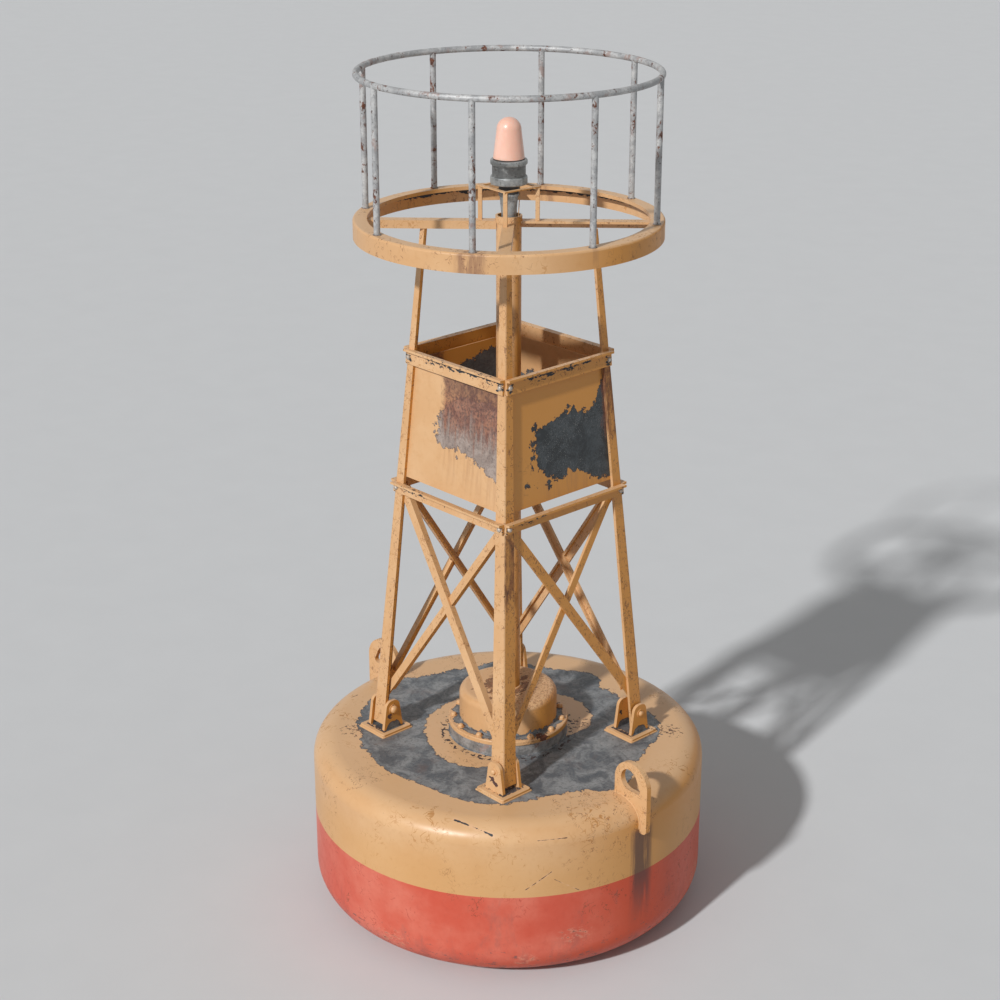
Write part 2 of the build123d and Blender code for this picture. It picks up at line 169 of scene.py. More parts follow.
def moved(finish, point, shift=(0, 0, 0), stretch=(1, 1, 1), turn=(0, 0, 0)):
    """The same point shifted, turned and stretched, so that a pattern differs or runs."""
    inputs = {"Vector": point, "Location": shift, "Rotation": turn, "Scale": stretch}
    return put(finish, "Mapping", inputs).outputs[0]


def distance_to(finish, point, middle):
    """Distance from a point of the surface to another point."""
    return put(finish, "VectorMath", {0: point, 1: middle}, operation="DISTANCE").outputs["Value"]


def clouds(finish, point, scale, detail=4.0, roughness=0.55, distortion=0.0):
    """Soft cloudy pattern, 0 to 1."""
    inputs = {"Vector": point, "Scale": scale, "Detail": detail, "Roughness": roughness}
    return put(finish, "TexNoise", inputs | {"Distortion": distortion}).outputs["Fac"]


def flakes(finish, point, size, share, cluster=3.0, seed=0.0):
    """Small flaked-off spots of about this size in metres, gathered in clusters."""
    here = moved(finish, point, shift=(seed, seed * 0.7, -seed))
    spots = clouds(finish, here, 0.45 / size, 3.0, 0.55)
    crowd = step_between(finish, clouds(finish, here, cluster, 2.0, 0.5), 0.46, 0.72)
    limit = swell(finish, crowd, -0.10, 0.83 - share)
    return step_between(finish, less(finish, spots, limit), 0.0, 0.015)


def hair_scratches(finish, point, scale, share, seed=0.0, stretch=(1, 1, 1), width=0.020):
    """Thin curling scratches, broken into short lengths, in scattered patches."""
    here = moved(finish, point, shift=(seed, -seed, seed * 0.5), stretch=stretch)
    line = gap(finish, clouds(finish, here, scale, 1.5, 0.5, 0.6), 0.5)
    thin = step_between(finish, line, width, width * 0.4)
    lengths = clouds(finish, moved(finish, here, (9, 4, 2)), scale * 0.55, 1.0)
    broken = step_between(finish, lengths, 0.51, 0.54)
    patch = step_between(finish, clouds(finish, here, 2.6, 3.0, 0.6), 0.64 - share, 0.70 - share)
    return both(finish, both(finish, thin, broken), patch)


def chipped(finish, near, pattern, reach, low, high, empty=0.05, full=0.25):
    """Chips of a pattern, thickest where near is 1 and none where it is 0."""
    chips = step_between(finish, swell(finish, near, reach, pattern), low, high)
    return both(finish, chips, step_between(finish, near, empty, full))


def bare_steel(finish, point, scale=9.0, dark=0.55, tones=STEEL):
    """Colour of bare weathered plate: dull grey with pale brushed bloom, dark pits and pale grit."""
    plain, pale, pit = tones
    broad = clouds(finish, point, scale, 6.0, 0.70, 0.8)
    fine = clouds(finish, point, scale * 8, 5.0, 0.75, 0.4)
    brushed = moved(finish, point, (2, 5, 1), (1, 0.35, 1), (0, 0, 0.6))
    veins = clouds(finish, brushed, scale * 3.2, 5.0, 0.7, 1.2)
    colour = tint(finish, step_between(finish, broad, 0.38, 0.64), plain, pale)
    colour = tint(finish, both(finish, step_between(finish, veins, 0.54, 0.70), 0.5), colour, pale)
    colour = tint(finish, both(finish, step_between(finish, fine, 0.47, 0.68), dark), colour, pit)
    grit = clouds(finish, moved(finish, point, (1, 6, 8)), 240.0, 2.0, 0.6)
    crowd = step_between(finish, clouds(finish, moved(finish, point, (5, 0, 2)), 5.0, 3.0), 0.44, 0.62)
    gritty = both(finish, step_between(finish, grit, 0.60, 0.66), both(finish, crowd, 0.55))
    return tint(finish, gritty, colour, GRIT)


def lay_on(finish, skin, roughness, height, strength, depth):
    """Gives the surface its colour, roughness and fine relief; returns its other settings."""
    relief = put(finish, "Bump", {"Height": height, "Strength": strength, "Distance": depth})
    surface = finish.node_tree.nodes["Principled BSDF"].inputs
    for socket, value in (("Base Color", skin), ("Roughness", roughness), ("Normal", relief.outputs[0])):
        finish.node_tree.links.new(value, surface[socket])
    return surface


def paint_finish(name, tones, wear=None, flaking=0.06, scratching=0.10, gloss=0.40):
    """Weathered marine paint. wear(finish, point) may give extra layers as
    (mask, colour, roughness, depth), the last one on top."""
    plain, pale, dark = tones
    finish = new_finish(name)
    point = place_on(finish)
    broad = clouds(finish, point, 2.6, 5.0, 0.6)
    fine = clouds(finish, point, 38.0, 3.0, 0.6)
    skin = tint(finish, step_between(finish, broad, 0.40, 0.70), plain, pale)
    skin = tint(finish, both(finish, step_between(finish, fine, 0.50, 0.75), 0.16), skin, dark)
    # Painted shade: sides turned from the key lamp get a deeper, richer copy of the paint colour.
    painted_shade_tone = tuple(share * old for share, old in zip(PAINTED_SHADE_SHARE, plain))
    skin = tint(finish, step_between(finish, in_sun(finish), 0.10, 0.52), painted_shade_tone, skin)
    # Painted top light, partly also dust: faces that look up are painted paler.
    upward = axes(finish, facing(finish))[2]
    skin = tint(finish, both(finish, step_between(finish, upward, 0.75, 0.98), 0.75), skin, pale)
    roughness = swell(finish, fine, 0.20, gloss - 0.10)
    height = both(finish, fine, 0.12)
    hairs = hair_scratches(finish, point, 30.0, scratching)
    twigs = hair_scratches(finish, point, 52.0, scratching, 3.1, (1, 1, 0.7), 0.026)
    specks = step_between(finish, clouds(finish, moved(finish, point, (5, 1, 3)), 150.0, 2.0), 0.755, 0.78)
    layers = [
        (both(finish, hairs, 0.60), dark, 0.6, 0.10),
        (both(finish, twigs, 0.62), RUST, 0.7, 0.25),
        (both(finish, specks, 0.55), RUST, 0.7, 0.25),
        (flakes(finish, point, 0.007, flaking, 4.0, 1.7), RUST_DARK, 0.75, 0.5),
        (flakes(finish, point, 0.015, flaking - 0.02, 1.9, 5.2), STEEL_DARK, 0.65, 0.8),
    ]
    if wear:
        layers += wear(finish, point)
    for mask, colour, layer_roughness, depth in layers:
        skin = tint(finish, mask, skin, colour)
        rough = put(finish, "Mix", {0: mask, 2: roughness, 3: layer_roughness}, data_type="FLOAT")
        roughness = rough.outputs[0]
        height = swell(finish, mask, -depth, height)
    lay_on(finish, skin, roughness, height, 0.55, 0.0012)
    return finish


def dress(node, finish):
    """Gives a solid of the frame its finish."""
    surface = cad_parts[node].data.materials
    surface.clear()
    surface.append(finish)


def from_axis(finish, point):
    """Distance from the mast's middle line, then x, y and z."""
    x, y, z = axes(finish, point)
    return slant(finish, x, y), x, y, z


def heading_of(finish, x, y):
    """Degrees round the mast, from +X towards +Y."""
    return sum_up(finish, "DEGREES", sum_up(finish, "ARCTAN2", y, x))


def ragged(finish, point, edge, *bites):
    """A smooth distance made ragged, as where paint lets go; a bite is (bites a metre, reach)."""
    for count, reach in bites:
        bite = less(finish, clouds(finish, point, count, 3.0, 0.62), 0.5)
        edge = swell(finish, bite, reach, edge)
    return edge


def bare_layers(finish, edge, colour, cover=1.0, lip_width=0.008):
    """Bare metal inside a ragged edge, with a dark lip where the broken paint ends: rust, and a painted
    shadow of the paint's raised edge.
    """
    bare = both(finish, step_between(finish, edge, 0.0, 0.0015), cover)
    # The dark lip is partly rust and partly a painted shadow cast by the paint's edge.
    rust_and_shadow_lip = both(finish, bare, step_between(finish, edge, lip_width, lip_width * 0.3))
    return [(bare, colour, 0.52, 1.0), (both(finish, rust_and_shadow_lip, 0.7), RUST_DARK, 0.7, 0.0)]


def near_line(finish, point, start, end):
    """Distance from a straight line between two points."""
    span = end - start
    here = put(finish, "VectorMath", {0: point, 1: start}, operation="SUBTRACT").outputs[0]
    inputs = {0: here, 1: span / span.length_squared}
    along = put(finish, "VectorMath", inputs, operation="DOT_PRODUCT").outputs["Value"]
    share = sum_up(finish, "ADD", along, 0.0, clamp=True)
    foot = put(finish, "VectorMath", {0: span, "Scale": share}, operation="SCALE").outputs[0]
    return distance_to(finish, here, foot)


def read_off(finish, value, points):
    """Height of a given line above this value; the line is (value, height) points."""
    start, end = points[0][0], points[-1][0]
    heights = [height for at, height in points]
    low, high = min(heights) - 0.01, max(heights) + 0.01
    share = put(finish, "MapRange", {"Value": value, "From Min": start, "From Max": end}).outputs[0]
    node = put(finish, "FloatCurve", {"Value": share})
    curve = node.mapping.curves[0]
    places = [((at - start) / (end - start), (height - low) / (high - low)) for at, height in points]
    curve.points[0].location = places[0]
    curve.points[-1].location = places[-1]
    for place in places[1:-1]:
        curve.points.new(*place)
    node.mapping.update()
    return put(finish, "MapRange", {"Value": node.outputs[0], "To Min": low, "To Max": high}).outputs[0]


# Edge of the bare deck and of the paint left round the hatch: degrees round the mast, metres out.
DECK_BARE_EDGE = (
    (-180, 0.722), (-149, 0.716), (-122, 0.681), (-97, 0.668), (-82, 0.648), (-64, 0.683),
    (-50, 0.700), (-39, 0.672), (-19, 0.648), (-9, 0.700), (0, 0.735), (18, 0.658), (36, 0.683),
    (46, 0.705), (70, 0.645), (89, 0.622), (99, 0.700), (119, 0.663), (138, 0.695), (158, 0.666),
    (180, 0.722),
)
HATCH_PAINT_EDGE = (
    (-180, 0.386), (-140, 0.384), (-108, 0.388), (-83, 0.412), (-68, 0.398), (-55, 0.345), (-40, 0.258),
    (0, 0.250), (24, 0.262), (45, 0.345), (68, 0.414), (96, 0.430), (130, 0.395), (180, 0.386),
)
# The deck is bare this far round the coaming's foot. Dark chips crowd along a circle further out.
COAMING_FRINGE = 0.004
RIM_CHIPS_OUT = 0.026
RIM_CHIPS_REACH = 0.036
RIM_CHIP_BROWN = (0.055, 0.034, 0.032)
REDDENED_STEEL = (0.135, 0.078, 0.062)
# Low on the wall the yellow is warmer. It sets in and is full about 0.1 below these heights.
WARM_YELLOW = (0.60, 0.315, 0.105)
WARM_START_Z = 0.86
WARM_FULL_Z = 0.62
# Ends of the straight gouges in the float's side: degrees round, metres up, twice, then width.
GOUGES = (
    (-58.7, 0.784, -47.5, 0.753, 0.0050),
    (-34.9, 0.730, -26.8, 0.729, 0.0018),
    (-38.2, 0.494, -31.1, 0.574, 0.0020),
    (-30.2, 0.534, -23.1, 0.462, 0.0014),
    (-150.5, 0.776, -158.0, 0.7929, 0.0025),
    (62.0, 0.560, 75.0, 0.610, 0.0022),
    (140.0, 0.640, 150.0, 0.560, 0.0024),
)
WIDE_GOUGE = 0.004
SCRAPED_YELLOW = (0.72, 0.43, 0.25)
# Where knocks have left crowds of chips, and where the shoulder is scuffed: a point and its reach.
KNOCKS = ((-0.470, -0.530, 0.793, 0.095), (0.525, 0.530, 0.793, 0.095), (0.190, 0.290, 0.793, 0.070))
KNOCK_BROWN = (0.105, 0.050, 0.034)
SCUFFS = (
    (0.80, -0.22, 0.76, 0.22), (0.30, -0.80, 0.77, 0.17),
    (0.76, 0.34, 0.78, 0.16), (-0.62, -0.52, 0.78, 0.14),
)


def on_float(heading, z):
    """Point on the float's outside at this heading in degrees and this height."""
    over = max(0.0, z - (DECK_Z - SHOULDER_DROP)) / SHOULDER_DROP
    reach = FLOAT_R - SHOULDER_REACH * (1 - sqrt(max(0.0, 1 - over * over)))
    return Vector((reach * cos(radians(heading)), reach * sin(radians(heading)), z))


def scuffed_layers(finish, point):
    """Crowds of short scratches over the shoulder."""
    scratches = hair_scratches(finish, point, 26.0, 0.6, 7.7, width=0.030)
    crowd = None
    for *middle, wide in SCUFFS:
        near = step_between(finish, distance_to(finish, point, middle), wide, wide * 0.4)
        crowd = near if crowd is None else sum_up(finish, "MAXIMUM", crowd, near)
    return [(both(finish, both(finish, scratches, crowd), 0.85), YELLOW_DARK, 0.6, 0.2)]


def knocked_layers(finish, point):
    """Brown chips on the deck, thickest at the middle of each knock."""
    chips = clouds(finish, moved(finish, point, (8, 1, 4)), 58.0, 3.0, 0.6)
    layers = []
    for *middle, wide in KNOCKS:
        near = step_between(finish, distance_to(finish, point, middle), wide, 0.0)
        knocked = chipped(finish, near, chips, 0.10, 0.62, 0.635)
        layers.append((both(finish, knocked, 0.9), KNOCK_BROWN, 0.65, 0.8))
    return layers


def gouged_layers(finish, point):
    """Gouges down to the steel, each in a broader ragged stroke of scraped paint."""
    beside = moved(finish, point, (7, 7, 1))
    layers = []
    for first, first_z, second, second_z, width in GOUGES:
        away = near_line(finish, point, on_float(first, first_z), on_float(second, second_z))
        worn = ragged(finish, point, less(finish, width, away), (45, width * 2.2))
        scraped = ragged(finish, beside, less(finish, 2.0 * width, away), (60, width * 8))
        stroke = both(finish, step_between(finish, scraped, 0.0, 0.001), 0.45)
        bottom = STEEL_DARK if width > WIDE_GOUGE else RUST_DARK
        layers.append((stroke, SCRAPED_YELLOW, 0.6, 0.2))
        layers.append((step_between(finish, worn, 0.0, 0.0006), bottom, 0.6, 0.6))
    return layers


def deck_wear(finish, point):
    """Bare plate round the tower's feet, knocks, scuffs and gouges, and rust below the lug."""
    reach, x, y, z = from_axis(finish, point)
    heading = heading_of(finish, x, y)
    outer = less(finish, read_off(finish, heading, DECK_BARE_EDGE), reach)
    outer = ragged(finish, point, outer, (9, 0.05), (30, 0.070), (95, 0.014))
    inner = less(finish, reach, read_off(finish, heading, HATCH_PAINT_EDGE))
    inner = ragged(finish, moved(finish, point, (4, 2, 0)), inner, (9, 0.04), (30, 0.060), (95, 0.014))
    foot = less(finish, COAMING_R + COAMING_FRINGE, reach)
    foot = ragged(finish, moved(finish, point, (1, 7, 0)), foot, (22, 0.09), (70, 0.04))
    bare = sum_up(finish, "MAXIMUM", sum_up(finish, "MINIMUM", outer, inner), foot)
    on_top = step_between(finish, z, DECK_Z - 0.006, DECK_Z - 0.004)
    low = swell(finish, clouds(finish, point, 2.2, 4.0, 0.6), 0.20, z)
    low = step_between(finish, low, WARM_START_Z, WARM_FULL_Z)
    layers = [(both(finish, low, 0.55), WARM_YELLOW, 0.42, 0.0)]
    layers += scuffed_layers(finish, point) + knocked_layers(finish, point) + gouged_layers(finish, point)
    blotches = clouds(finish, moved(finish, point, (3, 3, 0)), 6.5, 5.0, 0.7)
    reddened = both(finish, step_between(finish, blotches, 0.54, 0.70), 0.40)
    steel = tint(finish, reddened, bare_steel(finish, point), REDDENED_STEEL)
    layers += bare_layers(finish, bare, steel, on_top)
    off_rim = gap(finish, reach, COAMING_R + RIM_CHIPS_OUT)
    near = both(finish, step_between(finish, off_rim, RIM_CHIPS_REACH, 0.0), on_top)
    lumps = clouds(finish, moved(finish, point, (2, 6, 1)), 44.0, 3.0, 0.6)
    layers.append((chipped(finish, near, lumps, 0.11, 0.645, 0.66), RIM_CHIP_BROWN, 0.65, 0.8))
    return layers + lug_streak(finish, point, x, y, z)


# Rust runs down this far beside the X axis. It sets in below the lug's tail, and fades lower down.
STREAK_OFF = 0.042
STREAK_START = (0.700, 0.655)
STREAK_FADE = (0.130, 0.47)
STREAK_BROWN = (0.085, 0.045, 0.040)


def lug_streak(finish, point, x, y, z):
    """Dark rust that has run down the wall from the lug's tail, on the +X side."""
    away = sum_up(finish, "ABSOLUTE", sum_up(finish, "ADD", y, STREAK_OFF))
    veins = clouds(finish, moved(finish, point, stretch=(38, 38, 3.0)), 1.0, 4.0, 0.6)
    width = swell(finish, veins, 0.060, 0.024)
    side = step_between(finish, less(finish, width, away), -0.024, 0.026)
    front = step_between(finish, x, 0.5, 0.6)
    below = both(finish, step_between(finish, z, *STREAK_START), step_between(finish, z, *STREAK_FADE))
    veined = step_between(finish, veins, 0.26, 0.50)
    mask = both(finish, both(finish, side, front), both(finish, below, veined))
    return [(both(finish, mask, 0.85), STREAK_BROWN, 0.7, 0.1)]


# Rubbed places on the red paint: degrees round, metres up, reach. They are wider than high.
RED_RUBS = (
    (-78.0, 0.135, 0.14), (-38.0, 0.130, 0.10), (-24.0, 0.240, 0.12),
    (30.0, 0.20, 0.15), (115.0, 0.25, 0.14), (-160.0, 0.18, 0.16),
)
RUB_SQUAT = 1.6
RED_DULL = (0.30, 0.105, 0.085)
RED_BARE = (0.13, 0.085, 0.080)
RED_RUBBED = (0.66, 0.26, 0.17)
RED_GONE = (0.15, 0.060, 0.045)


def bottom_wear(finish, point):
    """Scuffs, dull growth stains and bare spots low on the red paint, and the lug's streak."""
    x, y, z = axes(finish, point)
    low = step_between(finish, z, 0.30, 0.06)
    stain = clouds(finish, moved(finish, point, stretch=(1, 1, 0.45)), 7.0, 6.0, 0.7)
    dull = step_between(finish, swell(finish, low, 0.10, stain), 0.56, 0.72)
    scuffs = clouds(finish, moved(finish, point, (2, 8, 1), (1, 1, 2.5)), 26.0, 5.0, 0.7)
    bare = step_between(finish, swell(finish, low, 0.13, scuffs), 0.70, 0.73)
    layers = [(both(finish, dull, 0.45), RED_DULL, 0.7, 0.05), (both(finish, bare, 0.75), RED_BARE, 0.7, 0.4)]
    rubbed = clouds(finish, moved(finish, point, (4, 4, 9), (1, 1, 2.2)), 30.0, 5.0, 0.7)
    squat = moved(finish, point, stretch=(1, 1, RUB_SQUAT))
    for heading, up, wide in RED_RUBS:
        middle = (FLOAT_R * cos(radians(heading)), FLOAT_R * sin(radians(heading)), RUB_SQUAT * up)
        near = step_between(finish, distance_to(finish, squat, middle), wide, wide * 0.3)
        pale = step_between(finish, swell(finish, near, 0.12, rubbed), 0.62, 0.67)
        gone = step_between(finish, swell(finish, near, 0.10, rubbed), 0.70, 0.715)
        layers.append((both(finish, both(finish, pale, near), 0.65), RED_RUBBED, 0.6, 0.15))
        layers.append((both(finish, both(finish, gone, near), 0.80), RED_GONE, 0.7, 0.5))
    return layers + lug_streak(finish, point, x, y, z)


def yellow_paint(name, wear=None, flaking=0.06, scratching=0.10, gloss=0.40):
    """The buoy's yellow topcoat, with the wear of one piece."""
    return paint_finish(name, YELLOW, wear, flaking, scratching, gloss)


dress("float_upper", yellow_paint("yellow_deck_paint", deck_wear, -0.03, 0.11, 0.36))
dress("float_lower", paint_finish("red_bottom_paint", RED, bottom_wear, -0.02, 0.10))

# Hatch ---------------------------------------------------------------------------
# A short upstand, a thick bolted flange and a spun can that the mast rises from. Thirteen
# round-headed bolts hold the flange. The coaming, its weld and the can's weld are bare steel.
FLANGE_TOP_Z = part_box("hatch_flange")[1].z
CAN_TOP_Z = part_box("hatch_cover")[1].z
CAN_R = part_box("hatch_cover")[1].x
MAST_R = 0.054
BOLT_CIRCLE_R = 0.251
HATCH_BOLTS = 13
FIRST_BOLT_ANGLE = -130.0
# A bolt's sizes: head radius and height, dome height, washer radius and height.
HATCH_BOLT = (0.0135, 0.004, 0.010, 0.0165, 0.003)
HATCH_BEAD = 0.005
MAST_BEAD = 0.006
BEAD_PROUD = 0.001          # a bead's middle stands this far off the joint it fills
BARE_BAND_R = 0.259
FLANGE_RUST_X = 0.268
FLANGE_RUST_Y = -0.040
FLANGE_RUST_R = 0.026
COAMING_STEEL = ((0.165, 0.160, 0.155), (0.31, 0.30, 0.29), (0.040, 0.038, 0.038))
RUST_BRIGHT = (0.34, 0.12, 0.045)
RUST_WASH = (0.36, 0.17, 0.08)
RUST_BLUSH = (0.30, 0.185, 0.155)


def rust_bloom(finish, point, scale):
    """Colour of rust: dark purple brown with brighter orange freckles."""
    broad = clouds(finish, point, scale, 6.0, 0.7, 0.5)
    fine = clouds(finish, point, scale * 5, 4.0, 0.7)
    colour = tint(finish, step_between(finish, broad, 0.35, 0.62), RUST_DARK, RUST)
    return tint(finish, both(finish, step_between(finish, fine, 0.50, 0.68), 0.55), colour, RUST_BRIGHT)


def flange_wear(finish, point):
    """Paint gone from the can out to the bolts, and brown rust to the rim on one side."""
    band = less(finish, BARE_BAND_R, from_axis(finish, point)[0])
    band = ragged(finish, point, band, (14, 0.03), (40, 0.06), (90, 0.02))
    away = distance_to(finish, point, (FLANGE_RUST_X, FLANGE_RUST_Y, FLANGE_TOP_Z))
    patch = ragged(finish, point, less(finish, FLANGE_RUST_R, away), (34, 0.09))
    rusty = (step_between(finish, patch, 0.0, 0.002), rust_bloom(finish, point, 40.0), 0.7, 0.5)
    return bare_layers(finish, band, bare_steel(finish, point, 24.0)) + [rusty]


def cover_wear(finish, point):
    """Rust freckles over the can's crown, where water stands, and bare steel at its foot."""
    reach, x, y, z = from_axis(finish, point)
    crown = step_between(finish, z, CAN_TOP_Z - 0.012, CAN_TOP_Z - 0.001)
    eastern = step_between(finish, sum_up(finish, "ADD", x, both(finish, y, 0.6)), -0.02, 0.10)
    wide_crown = both(finish, step_between(finish, z, CAN_TOP_Z - 0.045, CAN_TOP_Z - 0.020), eastern)
    near = step_between(finish, reach, 0.190, 0.070)
    run = moved(finish, point, stretch=(1, 0.5, 1), turn=(0, 0, 0.5))
    wet = swell(finish, near, 0.20, clouds(finish, run, 30.0, 5.0, 0.72, 0.8))
    freckled = both(finish, crown, step_between(finish, wet, 0.62, 0.66))
    grit = step_between(finish, clouds(finish, point, 95.0, 3.0, 0.6), 0.48, 0.58)
    foot = ragged(finish, point, less(finish, FLANGE_TOP_Z + 0.010, z), (26, 0.085))
    return [
        (both(finish, both(finish, wide_crown, grit), 0.65), RUST_WASH, 0.7, 0.3),
        (both(finish, freckled, 0.80), rust_bloom(finish, point, 40.0), 0.7, 0.4),
    ] + bare_layers(finish, foot, bare_steel(finish, point, 24.0), 1.0, 0.005)


def steel_finish(name, tones, metallic=0.0, rough=0.55, rust_share=0.0):
    """Bare or galvanised metal with stains and, where asked, rust spots."""
    plain, pale, dark = tones
    finish = new_finish(name)
    point = place_on(finish)
    broad = clouds(finish, point, 18.0, 6.0, 0.7, 0.3)
    fine = clouds(finish, point, 120.0, 4.0, 0.7)
    skin = tint(finish, step_between(finish, broad, 0.40, 0.62), plain, pale)
    skin = tint(finish, both(finish, step_between(finish, fine, 0.52, 0.72), 0.7), skin, dark)
    height = both(finish, fine, 0.5)
    if rust_share:
        blush = clouds(finish, moved(finish, point, (9, 3, 5), (1, 1, 0.8)), 13.0, 4.0, 0.65)
        blush = step_between(finish, blush, 0.80 - rust_share, 0.88 - rust_share)
        skin = tint(finish, both(finish, blush, 0.62), skin, RUST_BLUSH)
        rust = clouds(finish, moved(finish, point, (3, 1, 2), (1, 1, 0.8)), 20.0, 6.0, 0.74)
        rusty = step_between(finish, rust, 0.80 - rust_share, 0.86 - rust_share)
        skin = tint(finish, rusty, skin, rust_bloom(finish, point, 60.0))
        pits = clouds(finish, moved(finish, point, (7, 5, 1)), 95.0, 3.0, 0.6)
        pitted = step_between(finish, pits, 0.66, 0.68)
        skin = tint(finish, pitted, skin, RUST_DARK)
        height = swell(finish, sum_up(finish, "MAXIMUM", rusty, pitted), -0.6, height)
    surface = lay_on(finish, skin, swell(finish, broad, 0.35, rough - 0.15), height, 0.5, 0.001)
    surface["Metallic"].default_value = metallic
    return finish


def finish_piece(piece, name, finish):
    """Names a new piece, gives it its finish and fixes it to the buoy."""
    piece.name = name
    piece.data.name = name
    piece.data.materials.clear()
    piece.data.materials.append(finish)
    bpy.ops.object.select_all(action="DESELECT")
    piece.select_set(True)
    bpy.context.view_layer.objects.active = piece
    bpy.ops.object.transform_apply(location=True, rotation=True, scale=True)
    bpy.ops.object.shade_smooth_by_angle(angle=radians(40))
    bpy.ops.object.select_all(action="DESELECT")
    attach(piece, "root")


def pick(piece, wanted):
    """In edit mode, selects only the vertices that the test wants."""
    mesh = bmesh.from_edit_mesh(piece.data)
    for vertex in mesh.verts:
        vertex.select = wanted(vertex.co)
    mesh.select_flush(True)
    mesh.select_flush(False)
    bmesh.update_edit_mesh(piece.data)


def weld_ring(name, place, radius, bead, ripples, finish):
    """Rippled fillet weld round a joint: a thin ring whose every second rib is drawn in."""
    bpy.ops.mesh.primitive_torus_add(
        location=place, major_radius=radius, minor_radius=bead, major_segments=2 * ripples, minor_segments=8
    )
    ring = bpy.context.object
    bpy.ops.object.mode_set(mode="EDIT")
    pitch = pi / ripples
    for rib in range(0, 2 * ripples, 2):
        angle = rib * pitch
        middle = Vector((radius * cos(angle), radius * sin(angle), 0))
        pick(ring, lambda co: (co - middle).length < bead * 1.2)
        bpy.ops.transform.resize(value=(0.80, 0.80, 0.80), center_override=ring.matrix_world @ middle)
    bpy.ops.object.mode_set(mode="OBJECT")
    finish_piece(ring, name, finish)


dress("hatch_coaming", steel_finish("worn_coaming_steel", COAMING_STEEL, rust_share=0.20))
dress("hatch_flange", yellow_paint("flange_paint", flange_wear, 0.06))
dress("hatch_cover", yellow_paint("cover_paint", cover_wear, 0.02, 0.05))
tower_paint = yellow_paint("tower_paint", flaking=0.02, scratching=0.30)
dress("mast_tube", tower_paint)
worn_weld = steel_finish("worn_weld", STEEL, rust_share=0.22)
weld_paint = yellow_paint("painted_weld", flaking=0.08)
# Round welds: the joint's height and radius, the bead's radius, its ripples, slot and finish.
HATCH_WELDS = {
    "weld_coaming": (DECK_Z, COAMING_R, HATCH_BEAD, 96, "worn_steel", worn_weld),
    "weld_hatch_cover": (FLANGE_TOP_Z, CAN_R, HATCH_BEAD, 80, "worn_steel", worn_weld),
    "weld_mast_foot": (CAN_TOP_Z, MAST_R, MAST_BEAD, 24, "yellow_paint", weld_paint),
}
for name, (joint_z, joint_r, bead, ripples, slot, finish) in HATCH_WELDS.items():
    weld_ring(name, (0, 0, joint_z + BEAD_PROUD), joint_r + BEAD_PROUD, bead, ripples, finish)


def round_bolt(head_r, head_h, dome_h, washer_r, washer_h):
    """Domed bolt head on its washer, standing on z = 0."""
    bpy.ops.mesh.primitive_cylinder_add(
        vertices=24, radius=washer_r, depth=washer_h, location=(0, 0, washer_h / 2)
    )
    bolt = bpy.context.object
    bpy.ops.object.transform_apply(location=True, rotation=True, scale=True)
    bpy.ops.object.mode_set(mode="EDIT")
    bpy.ops.mesh.select_mode(type="FACE")
    mesh = bmesh.from_edit_mesh(bolt.data)
    for face in mesh.faces:
        face.select = face.normal.z > 0.9
    bmesh.update_edit_mesh(bolt.data)
    bpy.ops.mesh.inset(thickness=washer_r - head_r, depth=0)
    bpy.ops.mesh.extrude_region_move(TRANSFORM_OT_translate={"value": (0, 0, head_h)})
    for step in range(1, 5):
        below, above = radians(90 * (step - 1) / 5), radians(90 * step / 5)
        bpy.ops.mesh.inset(thickness=head_r * (cos(below) - cos(above)), depth=0)
        bpy.ops.transform.translate(value=(0, 0, dome_h * (sin(above) - sin(below))))
    bpy.ops.mesh.select_mode(type="VERT")
    bpy.ops.object.mode_set(mode="OBJECT")
    return bolt


def set_copies(master, names, places, finish):
    """One copy of a piece, with its own mesh, at each place."""
    for name, place in zip(names, places):
        piece = master.copy()
        piece.data = master.data.copy()
        bpy.context.scene.collection.objects.link(piece)
        piece.matrix_world = place
        finish_piece(piece, name, finish)
    bpy.data.objects.remove(master)


bolt_paint = yellow_paint("bolt_paint", flaking=0.10)
hatch_names = []
hatch_places = []
for number in range(HATCH_BOLTS):
    angle = radians(FIRST_BOLT_ANGLE + number * 360 / HATCH_BOLTS)
    place = (BOLT_CIRCLE_R * cos(angle), BOLT_CIRCLE_R * sin(angle), FLANGE_TOP_Z)
    hatch_names.append("hatch_bolt_%d" % (number + 1))
    hatch_places.append(Matrix.Translation(place))
set_copies(round_bolt(*HATCH_BOLT), hatch_names, hatch_places, bolt_paint)

# Feet and legs -------------------------------------------------------------------
# Each leg is a folded angle that narrows upward. It stands between the two ears of a deck
# plate that is welded down all round, and one bolt goes through ears and leg.
CORNERS = (("se", 0), ("ne", 90), ("nw", 180), ("sw", 270))
FOOT_X = 0.402
FOOT_Y = -0.402
FOOT_HALF = 0.0855
FOOT_TOP_Z = DECK_Z + 0.015
FOOT_BOLT_Z = 0.905
OUTER_EAR_Y = -0.458
INNER_EAR_Y = -0.3453
FOOT_BOLT = (0.0125, 0.005, 0.008, 0.0205, 0.0025)
FOOT_NUT = (0.0190, 0.006, 0.013, 0.0245, 0.003)
FOOT_BEAD = 0.0045
RIB_PITCH = 0.007
ARCH_HALF = 0.044
# The feet's bare plate and ear arches take these dark steel tones, partly as painted shade under the leg and
# between the ears.
DARK_STEEL_AND_SHADE = ((0.070, 0.074, 0.080), (0.17, 0.172, 0.175), (0.020, 0.021, 0.024))
EAR_CHIP_BROWN = (0.085, 0.042, 0.036)
GRIME_BROWN = (0.17, 0.072, 0.034)
